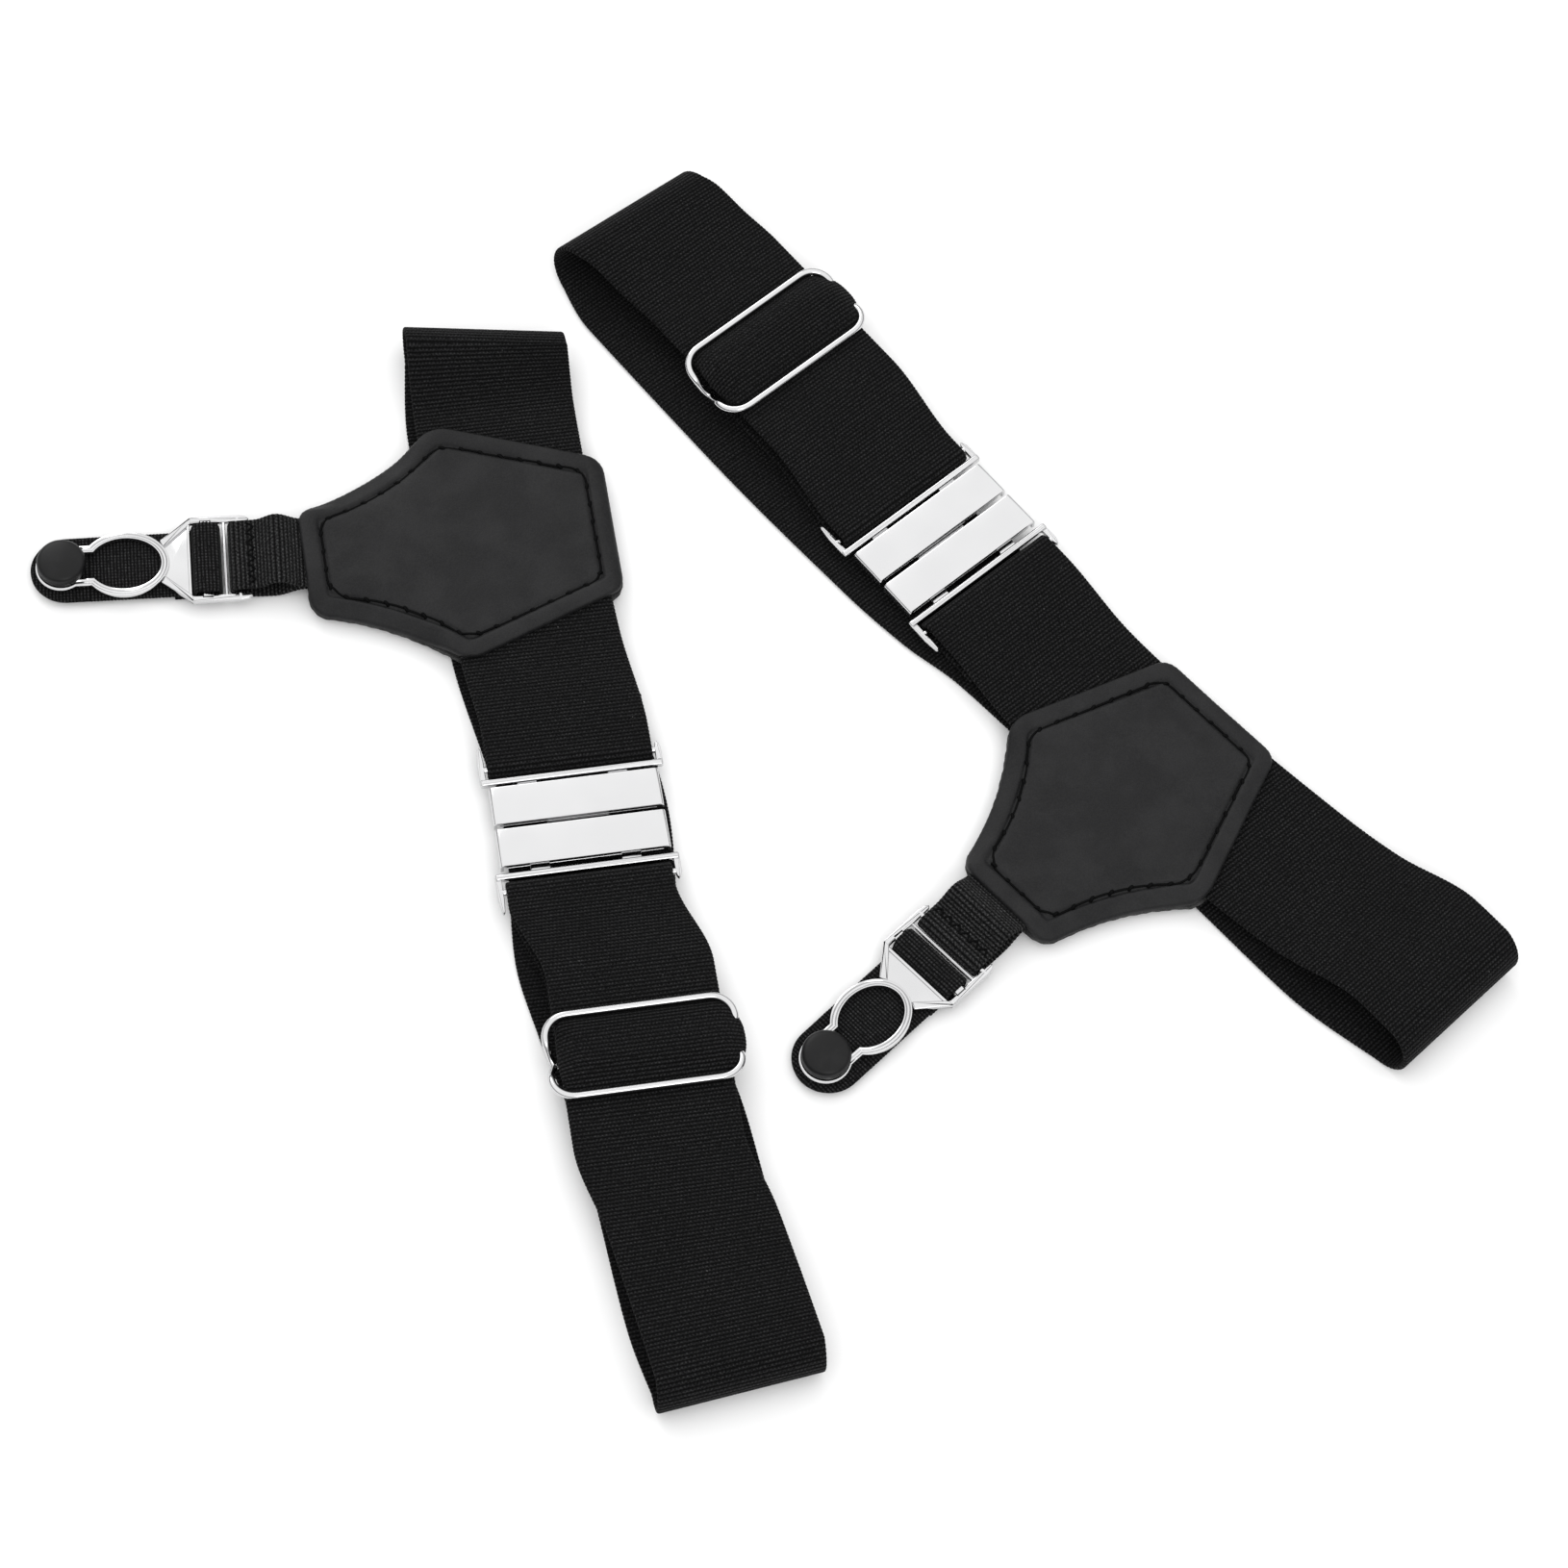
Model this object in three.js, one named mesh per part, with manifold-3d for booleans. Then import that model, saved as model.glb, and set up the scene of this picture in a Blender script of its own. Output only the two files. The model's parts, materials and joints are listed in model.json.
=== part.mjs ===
// A pair of men's sock garters lying closed on a table. Each is a loop of wide elastic worn round the
// calf, with a hook clasp, a wire slider, a leather patch and a sock clip on a short elastic strap.
//
// Each garter is built in its own frame: S along the band from the patch towards the slider, T across
// the band towards the sock clip, Z up from the table. The right garter is the left one mirrored.
import * as THREE from "three";
import { mergeVertices } from "three/addons/utils/BufferGeometryUtils.js";
import Module from "manifold-3d";

// Every length is in millimetres and every angle in degrees.
const CLEARANCE = 0.3;
const TABLE_GAP = 0.2;
const THREAD_RADIUS = 0.22;

// Wide elastic band
const BAND_WIDTH = 32;
const BAND_THICKNESS = 1.1;
const LAYER_GAP = 0.4;
const LOOP_END_HEIGHT = 9;
const LOOP_END_DEPTH = 4.5;

// Clasp: two halves that hook together, each with a strap bar that the band is folded round
const CLASP_PLACE = 64;
const CLASP_HALF_WIDTH = BAND_WIDTH / 2 + 1.7;
const STRAP_BAR_RADIUS = 0.65;
const FRONT_BAR_WIDTH = 1.3;
const FRONT_BAR_HEIGHT = 1.5;
const SIDE_ARM_THICKNESS = 1.2;
const SIDE_ARM_OVERHANG = 4;
const COVER_LENGTH = 7.9;
const COVER_WIDTH = BAND_WIDTH + 0.8;
const COVER_SHEET = 0.8;
const COVER_TO_BAR = 0.95;
const COVER_GAP = 1;
const CORE_THICKNESS = 0.6;
const CORE_BELOW_BAR = 0.45;
const FOLD_ROOM = 1;
const HOOK_TONGUE_WIDTH = 12;
const HOOK_TONGUE_THICKNESS = 0.7;
const HOOK_LIP_THICKNESS = 0.9;
const HOOK_ENGAGEMENT = 0.5;
const HOOK_REACH = 3.8;
const HOOK_PLAY = 0.5;

// Wire slider
const SLIDER_WIRE_RADIUS = 0.68;
const SLIDER_BAR_SPACING = 16.5;
const SLIDER_HALF_WIDTH = BAND_WIDTH / 2 + 2.6;
const SLIDER_CORNER = 4.4;
const SLIDER_PINCH = 1;
const SLIDER_TRAVEL_TO_CLASP = 6;
const SLIDER_TRAVEL_TO_END = 8;
const SEWN_END_LENGTH = 7;

// Leather patch, front and back alike, symmetric about the clip's axis
const LEATHER_THICKNESS = 1;
const PATCH_NARROW_HALF = 10.5;
const PATCH_NARROW_PLACE = 43.5;
const PATCH_WIDE_HALF = 26;
const PATCH_WIDE_PLACE = 14;
const PATCH_FAR_HALF = 14.5;
const PATCH_FAR_PLACE = -17.5;
const PATCH_CORNER_RADIUS = 3;
const PATCH_SIDE_SAG = 1.6;
const PATCH_POCKET = 2.7;
const STITCH_INSET = 4;

// Clip strap
const STRAP_WIDTH = 15;
const STRAP_THICKNESS = 0.9;
const STRAP_FREE_LENGTH = 12.2;
const STRAP_SEWN_LENGTH = PATCH_NARROW_PLACE - BAND_WIDTH / 2 - 3.5;
const STRAP_FLEX_FROM_PATCH = 1;

// Sock clip: a stamped frame with a keyhole, and a ribbon tongue that carries the button
const CLIP_THICKNESS = 1.2;
const CLIP_HALF_WIDTH = 9.3;
const CLIP_REAR_BAR = 1.3;
const CLIP_THIN_BAR = 1;
const CLIP_TONGUE_BAR = 2.4;
const CLIP_WEB_DEPTH = 4.2;
const CLIP_RING_STOCK = 1.6;
const KEYHOLE_OVAL_HALF_WIDTH = 5.7;
const KEYHOLE_OVAL_HALF_LENGTH = 6.3;
const KEYHOLE_END_RADIUS = 3.5;
const KEYHOLE_LENGTH = 12.9;
const RIBBON_WIDTH = 14;
const RIBBON_THICKNESS = 0.8;
const RIBBON_SEWN_LENGTH = 9;
const BUTTON_RADIUS = 4.75;
const BUTTON_HEIGHT = 3.1;
const BUTTON_NECK_RADIUS = 2.4;
const STUD_DISC_RADIUS = 4;
const STUD_DISC_HEIGHT = 0.8;
const STUD_PIN_RADIUS = 0.8;

// How each garter lies: where its patch is, which way its band runs, how the patch and the clip are
// turned on it, and how far the band's two layers drift sideways along it, as [S, T] points.
const GARTERS = [
  {
    side: "left",
    mirror: -1,
    place: [-57.1, 45.8],
    heading: -70.5,
    patchShift: 0.75,
    patchTurn: 3.1,
    clipShift: -3.1,
    clipTurn: 7.4,
    patchEnd: -44.2,
    patchEndSkew: 9.5,
    sliderEnd: 181.5,
    sliderEndSkew: -6.5,
    sliderPlace: 113.5,
    bandShift: -1.55,
    bandTurn: 3.3,
    topDrift: [
      [-43, 3.2], [-26, 3.6], [0, 3.2], [24, 2.2], [47, 0], [79.5, 0], [97.5, -4.6],
      [131.5, -4.6], [148, -8.1], [160, -10], [182, -13.2],
    ],
    bottomDrift: [
      [-43, 3.2], [-25, 5.2], [0, 4.4], [24, 3.4], [64, -1.6], [90, 0.2], [106, -2],
      [125, -6], [140, -7.5], [165, -9.6], [182, -13.2],
    ],
  },
  {
    side: "right",
    mirror: 1,
    place: [72, 12],
    heading: 137,
    patchShift: -0.2,
    patchTurn: 4.2,
    clipShift: -1.1,
    clipTurn: 4.9,
    patchEnd: -74,
    patchEndSkew: 3.5,
    sliderEnd: 161,
    sliderEndSkew: -3.5,
    sliderPlace: 118,
    bandShift: -0.12,
    bandTurn: 0.3,
    topDrift: [
      [-73, -9.9], [-60, -10.3], [-43, -6.4], [-28, -4.2], [0, -0.8], [26, 0.9], [47, 0],
      [79.5, 0], [100, -2], [136, -2], [146, -0.9], [153, -0.2], [161, 3.1],
    ],
    bottomDrift: [
      [-73, -8.5], [-49, -3.5], [-25, -2.3], [26, 0.5], [40, 1.6], [53, 4.2], [68, 5.7],
      [108, 7], [146, 6.7], [161, 3.1],
    ],
  },
];

// Heights of the stacked layers, worked out from the table upwards
const BAND_HALF = BAND_THICKNESS / 2;
const BOTTOM_Z = BAND_HALF;
const RETURN_Z = BOTTOM_Z + BAND_THICKNESS + LAYER_GAP;
const FOLD_RADIUS = STRAP_BAR_RADIUS + CLEARANCE + BAND_HALF;
const STRAP_BAR_Z = RETURN_Z + FOLD_RADIUS;
const CLASP_TOP_Z = STRAP_BAR_Z + FOLD_RADIUS;
const CORE_Z = STRAP_BAR_Z - CORE_BELOW_BAR;
const COVER_Z = CORE_Z + CORE_THICKNESS + FOLD_ROOM;
const SLIDER_BAND_Z = CLASP_TOP_Z + BAND_THICKNESS + CLEARANCE;
const SLIDER_SIDE_Z = SLIDER_BAND_Z + BAND_HALF + CLEARANCE + SLIDER_WIRE_RADIUS;
const PATCH_BACK_Z = BAND_THICKNESS + LAYER_GAP;
const PATCH_POCKET_Z = PATCH_BACK_Z + LEATHER_THICKNESS;
const PATCH_FRONT_Z = PATCH_POCKET_Z + PATCH_POCKET;
const PATCH_TOP_Z = PATCH_FRONT_Z + LEATHER_THICKNESS;
const PATCH_BAND_Z = PATCH_POCKET_Z + PATCH_POCKET / 2;
const RIBBON_Z = TABLE_GAP + STUD_DISC_HEIGHT + CLEARANCE + RIBBON_THICKNESS / 2;
const CLIP_Z = RIBBON_Z + RIBBON_THICKNESS / 2 + CLEARANCE + CLIP_THICKNESS / 2;
const CLIP_TOP_Z = CLIP_Z + CLIP_THICKNESS / 2;

// Places along the clasp, counted from a half's strap bar towards the clasp's middle
const FRONT_BAR_PLACE = FOLD_RADIUS + BAND_HALF + CLEARANCE + FRONT_BAR_WIDTH / 2;
const COVER_START = FRONT_BAR_PLACE + FRONT_BAR_WIDTH / 2 + COVER_TO_BAR;
const COVER_END = COVER_START + COVER_LENGTH;
const CLASP_HALF_LENGTH = COVER_END + COVER_GAP / 2;
const RECEIVER_BAR = CLASP_PLACE - CLASP_HALF_LENGTH;
const HOOK_BAR = CLASP_PLACE + CLASP_HALF_LENGTH;

// Places along the clip, counted from its rear bar towards its button
const STRAP_FOLD_RADIUS = CLIP_REAR_BAR / 2 + CLEARANCE + STRAP_THICKNESS / 2;
const SLOT_C_END = STRAP_FOLD_RADIUS + STRAP_THICKNESS / 2 + CLEARANCE + 0.05;
const SLOT_B_START = SLOT_C_END + CLIP_THIN_BAR;
const RIBBON_SLOT = RIBBON_THICKNESS + 2 * CLEARANCE + 0.45;
const TONGUE_BAR_START = SLOT_B_START + RIBBON_SLOT;
const TONGUE_BAR_MIDDLE = TONGUE_BAR_START + CLIP_TONGUE_BAR / 2;
const SLOT_A_END = TONGUE_BAR_START + CLIP_TONGUE_BAR + RIBBON_SLOT;
const OVAL_MIDDLE = SLOT_A_END + CLIP_WEB_DEPTH + CLIP_RING_STOCK + KEYHOLE_OVAL_HALF_LENGTH;
const BUTTON_PLACE = OVAL_MIDDLE + KEYHOLE_LENGTH;
const CLIP_TIP = BUTTON_PLACE + KEYHOLE_END_RADIUS + CLIP_RING_STOCK;
const TONGUE_SPLIT = BUTTON_PLACE - STUD_DISC_RADIUS - 1.6;
const TONGUE_TIP = CLIP_TIP + 1;
const STRAP_FLEX = -STRAP_FREE_LENGTH + STRAP_FLEX_FROM_PATCH;

const wasm = await Module();
wasm.setup();

const FINISHES = {
  elastic: { color: 0x17171a, roughness: 0.9, metalness: 0 },
  ribbon: { color: 0x141416, roughness: 0.75, metalness: 0 },
  leather: { color: 0x2e2e30, roughness: 0.55, metalness: 0 },
  nickel: { color: 0xe2e2e0, roughness: 0.16, metalness: 1 },
  rubber: { color: 0x232324, roughness: 0.5, metalness: 0 },
  thread: { color: 0x0d0d0e, roughness: 0.8, metalness: 0 },
};

const radians = THREE.MathUtils.degToRad;

/** A closed geometry as a manifold-3d solid. */
function solidOf(geometry) {
  const bare = new THREE.BufferGeometry();
  bare.setAttribute("position", geometry.getAttribute("position"));
  bare.setIndex(geometry.index);
  const merged = mergeVertices(bare, 1e-4);
  return new wasm.Manifold(
    new wasm.Mesh({
      numProp: 3,
      vertProperties: new Float32Array(merged.attributes.position.array),
      triVerts: new Uint32Array(merged.index.array),
    }),
  );
}

/** The geometry of a manifold-3d solid. */
function geometryOf(solid) {
  const mesh = solid.getMesh();
  const geometry = new THREE.BufferGeometry();
  geometry.setAttribute("position", new THREE.BufferAttribute(mesh.vertProperties, 3));
  geometry.setIndex(new THREE.BufferAttribute(mesh.triVerts, 1));
  return geometry;
}

/** Several overlapping closed geometries joined into one, less the ones to cut away. */
function join(pieces, cuts = []) {
  let solid = pieces.map(solidOf).reduce((whole, piece) => whole.add(piece));
  for (const cut of cuts) {
    solid = solid.subtract(solidOf(cut));
  }
  return geometryOf(solid);
}

/** A block between two corners. */
function block([x0, y0, z0], [x1, y1, z1]) {
  const box = new THREE.BoxGeometry(x1 - x0, y1 - y0, z1 - z0);
  return box.translate((x0 + x1) / 2, (y0 + y1) / 2, (z0 + z1) / 2);
}

/** A round rod with the given number of sides along a curve. */
function rod(curve, radius, steps, sides = 10) {
  const section = new THREE.Shape();
  for (let i = 0; i < sides; i += 1) {
    const angle = (2 * Math.PI * i) / sides;
    const point = [radius * Math.cos(angle), radius * Math.sin(angle)];
    if (i === 0) {
      section.moveTo(...point);
    } else {
      section.lineTo(...point);
    }
  }
  return new THREE.ExtrudeGeometry(section, { steps, extrudePath: curve, bevelEnabled: false });
}

/** A straight rod between two points. */
function straightRod(from, to, radius, sides = 10) {
  return rod(new THREE.LineCurve3(new THREE.Vector3(...from), new THREE.Vector3(...to)), radius, 1, sides);
}

/** An outline in the X-Z plane, carried along Y from y0 to y1. */
function profileAcross(points, y0, y1) {
  const shape = new THREE.Shape(points.map(([x, z]) => new THREE.Vector2(x, z)));
  const solid = new THREE.ExtrudeGeometry(shape, { depth: y1 - y0, bevelEnabled: false });
  return solid.rotateX(Math.PI / 2).translate(0, y1, 0);
}

/** A smooth curve of one variable through [x, y] points that never swings past them. */
function through(points) {
  const rise = points.slice(1).map(([x, y], i) => (y - points[i][1]) / (x - points[i][0]));
  const slope = points.map((_, i) => {
    const before = rise[Math.max(i - 1, 0)];
    const after = rise[Math.min(i, rise.length - 1)];
    return before * after <= 0 ? 0 : (2 * before * after) / (before + after);
  });
  return (x) => {
    const last = points.length - 2;
    let i = 0;
    while (i < last && x > points[i + 1][0]) {
      i += 1;
    }
    const span = points[i + 1][0] - points[i][0];
    const u = THREE.MathUtils.clamp((x - points[i][0]) / span, 0, 1);
    const ease = u * u * (3 - 2 * u);
    const start = u * (1 - u) * (1 - u) * slope[i] * span;
    const end = -u * u * (1 - u) * slope[i + 1] * span;
    return points[i][1] + ease * (points[i + 1][1] - points[i][1]) + start + end;
  };
}

/** Numbers from one value to another, spaced by no more than a step. */
function range(from, to, step) {
  const count = Math.max(1, Math.ceil(Math.abs(to - from) / step));
  return Array.from({ length: count + 1 }, (_, i) => from + ((to - from) * i) / count);
}

/**
 * A flat strap along a route. Each stop is { point: [x, y, z], skew }, where skew turns the strap's
 * width in plan, and the strap's thickness stands square to its route.
 */
function strap(stops, width, thickness) {
  const places = stops.map((stop) => new THREE.Vector3(...stop.point));
  const positions = [];
  const index = [];
  stops.forEach((stop, i) => {
    const ahead = places[Math.min(i + 1, places.length - 1)];
    const behind = places[Math.max(i - 1, 0)];
    const along = ahead.clone().sub(behind).normalize();
    const across = new THREE.Vector3(-Math.sin(stop.skew), Math.cos(stop.skew), 0);
    const out = new THREE.Vector3().crossVectors(along, across).normalize();
    for (const [w, t] of [[-1, -1], [1, -1], [1, 1], [-1, 1]]) {
      const corner = places[i].clone();
      corner.addScaledVector(across, (w * width) / 2);
      corner.addScaledVector(out, (t * thickness) / 2);
      positions.push(corner.x, corner.y, corner.z);
    }
  });
  for (let i = 0; i < stops.length - 1; i += 1) {
    for (let k = 0; k < 4; k += 1) {
      const a = 4 * i + k;
      const b = 4 * i + ((k + 1) % 4);
      index.push(a, b, b + 4, a, b + 4, a + 4);
    }
  }
  const end = 4 * (stops.length - 1);
  index.push(0, 2, 1, 0, 3, 2);
  index.push(end, end + 1, end + 2, end, end + 2, end + 3);
  const geometry = new THREE.BufferGeometry();
  geometry.setAttribute("position", new THREE.Float32BufferAttribute(positions, 3));
  geometry.setIndex(index);
  return geometry;
}

/** Stops on a half turn in the X-Z plane round a bar at [x, z], from above to below or back. */
function turn(x, z, reach, radius, drift, skew, downward, steps = 12) {
  return range(0, 1, 1 / steps).map((u) => {
    const angle = Math.PI * u;
    const height = (downward ? 1 : -1) * radius * Math.cos(angle);
    return { point: [x + reach * Math.sin(angle), drift(u), z + height], skew: skew(u) };
  });
}

const still = () => 0;

/** A geometry as a named mesh in one of the finishes. */
function piece(name, finish, geometry) {
  const mesh = new THREE.Mesh(geometry, new THREE.MeshStandardMaterial(FINISHES[finish]));
  mesh.name = name;
  return mesh;
}

// ---------------------------------------------------------------- wide elastic band

/** The height of the band's upper layer along S. */
function topLayerHeight(garter) {
  const { sliderPlace, patchEnd, sliderEnd } = garter;
  const sliderHalf = SLIDER_BAR_SPACING / 2 + 2 * SLIDER_WIRE_RADIUS;
  const flatFrom = sliderPlace - sliderHalf - SLIDER_TRAVEL_TO_CLASP;
  const flatTo = sliderPlace + sliderHalf + SLIDER_TRAVEL_TO_END;
  return through([
    [patchEnd + LOOP_END_DEPTH, LOOP_END_HEIGHT],
    [-PATCH_WIDE_HALF, PATCH_BAND_Z],
    [PATCH_WIDE_HALF, PATCH_BAND_Z],
    [RECEIVER_BAR - 6, CLASP_TOP_Z],
    [HOOK_BAR + 1, CLASP_TOP_Z],
    [flatFrom, SLIDER_BAND_Z],
    [flatTo, SLIDER_BAND_Z],
    [sliderEnd - LOOP_END_DEPTH, LOOP_END_HEIGHT],
  ]);
}

/** The band's stops: sewn end, receiver bar, patch, loop end, bottom, loop end, slider, hook bar. */
function bandStops(garter) {
  const height = topLayerHeight(garter);
  const topT = through(garter.topDrift);
  const bottomT = through(garter.bottomDrift);
  const patchSkew = radians(garter.patchEndSkew);
  const sliderSkew = radians(garter.sliderEndSkew);
  const skewAt = through([
    [garter.patchEnd, patchSkew],
    [-PATCH_WIDE_HALF, 0],
    [garter.sliderPlace + SLIDER_BAR_SPACING, 0],
    [garter.sliderEnd, sliderSkew],
  ]);
  const top = (s) => ({ point: [s, topT(s), height(s)], skew: skewAt(s) });
  const bottom = (s) => ({ point: [s, bottomT(s), BOTTOM_Z], skew: skewAt(s) });
  const loopEnd = (s, reach, downward) => {
    const middle = (LOOP_END_HEIGHT + BOTTOM_Z) / 2;
    const radius = (LOOP_END_HEIGHT - BOTTOM_Z) / 2;
    const upper = topT(s);
    const lower = bottomT(s);
    const drift = (u) => THREE.MathUtils.lerp(downward ? upper : lower, downward ? lower : upper, u);
    return turn(s, middle, reach, radius, drift, () => skewAt(s + reach), downward);
  };
  const patchTurn = garter.patchEnd + LOOP_END_DEPTH;
  const sliderTurn = garter.sliderEnd - LOOP_END_DEPTH;
  const sewnFrom = RECEIVER_BAR - SEWN_END_LENGTH - 6;
  return [
    { point: [sewnFrom, 0, RETURN_Z], skew: 0 },
    ...turn(RECEIVER_BAR, STRAP_BAR_Z, FOLD_RADIUS, FOLD_RADIUS, still, still, false),
    ...range(RECEIVER_BAR, patchTurn, 5).slice(1, -1).map(top),
    ...loopEnd(patchTurn, -LOOP_END_DEPTH, true),
    ...range(patchTurn, sliderTurn, 9).slice(1, -1).map(bottom),
    ...loopEnd(sliderTurn, LOOP_END_DEPTH, false),
    ...range(sliderTurn, HOOK_BAR, 5).slice(1, -1).map(top),
    ...turn(HOOK_BAR, STRAP_BAR_Z, -FOLD_RADIUS, FOLD_RADIUS, still, still, true),
    { point: [HOOK_BAR + FOLD_RADIUS, 0, RETURN_Z], skew: 0 },
  ];
}

/** The layer that runs back from the hook bar to the slider, under the upper layer. */
function returnLayer(garter) {
  const start = HOOK_BAR + FOLD_RADIUS + CLEARANCE;
  const end = garter.sliderPlace - SEWN_END_LENGTH - CLEARANCE;
  const drift = through(garter.topDrift);
  const stops = range(start, end, 4).map((s) => ({ point: [s, drift(s), RETURN_Z], skew: 0 }));
  return strap(stops, BAND_WIDTH, BAND_THICKNESS);
}

// ---------------------------------------------------------------- clasp

/** One clasp half's frame: strap bar, side arms, front bar, tabs and the core under its cover. */
function claspFrame(extras, cuts) {
  const inner = CLASP_HALF_WIDTH - SIDE_ARM_THICKNESS;
  const barFrom = FRONT_BAR_PLACE - FRONT_BAR_WIDTH / 2;
  const barTo = FRONT_BAR_PLACE + FRONT_BAR_WIDTH / 2;
  const barBase = -0.55;
  const coreBase = CORE_Z - STRAP_BAR_Z;
  const coreTop = coreBase + CORE_THICKNESS;
  const coreHalf = COVER_WIDTH / 2 - COVER_SHEET - 0.4;
  const armOutline = [
    [barTo, barBase],
    [barTo, -barBase],
    [-SIDE_ARM_OVERHANG * 0.4, -barBase],
    [-SIDE_ARM_OVERHANG, 0.3],
    [-SIDE_ARM_OVERHANG, -0.1],
    [-SIDE_ARM_OVERHANG * 0.3, barBase],
  ];
  const pieces = [
    block([barFrom, -CLASP_HALF_WIDTH, barBase], [barTo, CLASP_HALF_WIDTH, barBase + FRONT_BAR_HEIGHT]),
    straightRod([0, -inner - 0.5, 0], [0, inner + 0.5, 0], STRAP_BAR_RADIUS),
    block([COVER_START + 0.2, -coreHalf, coreBase], [COVER_END - 0.2, coreHalf, coreTop]),
  ];
  for (const sign of [-1, 1]) {
    const edges = [sign * inner, sign * CLASP_HALF_WIDTH].sort((a, b) => a - b);
    pieces.push(profileAcross(armOutline, ...edges));
    const tab = [sign * 7, sign * 10.5].sort((a, b) => a - b);
    pieces.push(block([barTo - 0.3, tab[0], coreBase], [COVER_START + 0.6, tab[1], coreTop]));
  }
  return join([...pieces, ...extras], cuts);
}

/** The receiver frame: its core has a window that the hook's lip stands in. */
function receiverFrame() {
  const nearEdge = CLASP_HALF_LENGTH - HOOK_REACH + HOOK_LIP_THICKNESS + HOOK_PLAY;
  const farEdge = CLASP_HALF_LENGTH - HOOK_REACH - 1.4;
  const half = HOOK_TONGUE_WIDTH / 2 + 1;
  return claspFrame([], [block([farEdge, -half, -3], [nearEdge, half, 3])]);
}

/** The hook frame: a tongue steps down under the receiver and ends in a lip that points up. */
function hookFrame() {
  const half = HOOK_TONGUE_WIDTH / 2;
  const base = BAND_THICKNESS + LAYER_GAP - STRAP_BAR_Z;
  const coreTop = CORE_Z - STRAP_BAR_Z + CORE_THICKNESS;
  const lipTop = CORE_Z - STRAP_BAR_Z + HOOK_ENGAGEMENT;
  const tip = CLASP_HALF_LENGTH + HOOK_REACH;
  return claspFrame(
    [
      block([COVER_END - 1.6, -half, base], [COVER_END - 0.2, half, coreTop]),
      block([COVER_END - 1.6, -half, base], [tip, half, base + HOOK_TONGUE_THICKNESS]),
      block([tip - HOOK_LIP_THICKNESS, -half, base], [tip, half, lipTop]),
    ],
    [],
  );
}

/** The polished cover: a sheet with its two ends folded down beside the core. */
function claspCover() {
  const half = COVER_WIDTH / 2;
  const base = COVER_Z - STRAP_BAR_Z;
  const sheetTop = base + COVER_SHEET;
  const foldBase = CORE_Z - STRAP_BAR_Z;
  const pieces = [block([COVER_START, -half, base], [COVER_END, half, sheetTop])];
  for (const sign of [-1, 1]) {
    const edges = [sign * half, sign * (half - COVER_SHEET)].sort((a, b) => a - b);
    pieces.push(block([COVER_START, edges[0], foldBase], [COVER_END, edges[1], sheetTop]));
  }
  return join(pieces);
}

/** A clasp half's geometry put in its place, facing the clasp's middle. */
function placeOnClasp(geometry, isHook) {
  const turned = isHook ? geometry.rotateZ(Math.PI) : geometry;
  return turned.translate(isHook ? HOOK_BAR : RECEIVER_BAR, 0, STRAP_BAR_Z);
}

// ---------------------------------------------------------------- slider

/** The bent wire: two side bars over the band, joined at each end to the bar under it. */
function sliderFrame() {
  const reach = SLIDER_BAR_SPACING / 2;
  const high = SLIDER_SIDE_Z;
  const low = STRAP_BAR_Z;
  const extreme = SLIDER_HALF_WIDTH - SLIDER_WIRE_RADIUS;
  const straight = extreme - SLIDER_CORNER;
  const pinch = extreme - SLIDER_PINCH;
  const pieces = [straightRod([0, -pinch, low], [0, pinch, low], SLIDER_WIRE_RADIUS)];
  for (const sign of [-1, 1]) {
    const half = [
      [0, pinch, low],
      [sign * reach * 0.14, pinch + 0.2, low + (high - low) * 0.1],
      [sign * reach * 0.34, extreme - 0.1, low + (high - low) * 0.42],
      [sign * reach * 0.6, extreme, low + (high - low) * 0.78],
      [sign * reach * 0.85, extreme - SLIDER_CORNER * 0.3, high - 0.15],
      [sign * reach * 0.98, straight + SLIDER_CORNER * 0.25, high],
      [sign * reach, straight * 0.8, high],
      [sign * reach, straight * 0.4, high],
    ];
    const other = half.map(([s, t, z]) => [s, -t, z]).reverse();
    const points = [...half, ...other].map((p) => new THREE.Vector3(...p));
    pieces.push(rod(new THREE.CatmullRomCurve3(points, false, "centripetal"), SLIDER_WIRE_RADIUS, 44));
  }
  return join(pieces);
}

/** The band's end, folded round the slider's middle bar and sewn. */
function sewnEnd() {
  const stops = [
    { point: [-SEWN_END_LENGTH, 0, RETURN_Z], skew: 0 },
    ...turn(0, STRAP_BAR_Z, FOLD_RADIUS, FOLD_RADIUS, still, still, false),
    { point: [-SEWN_END_LENGTH, 0, CLASP_TOP_Z], skew: 0 },
  ];
  return strap(stops, BAND_WIDTH, BAND_THICKNESS);
}

/** A row of thread across the band, between the two layers that it joins. */
function seamThread(s) {
  const half = BAND_WIDTH / 2 - 2;
  return straightRod([s, -half, STRAP_BAR_Z], [s, half, STRAP_BAR_Z], THREAD_RADIUS, 6);
}

// ---------------------------------------------------------------- leather patch

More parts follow.
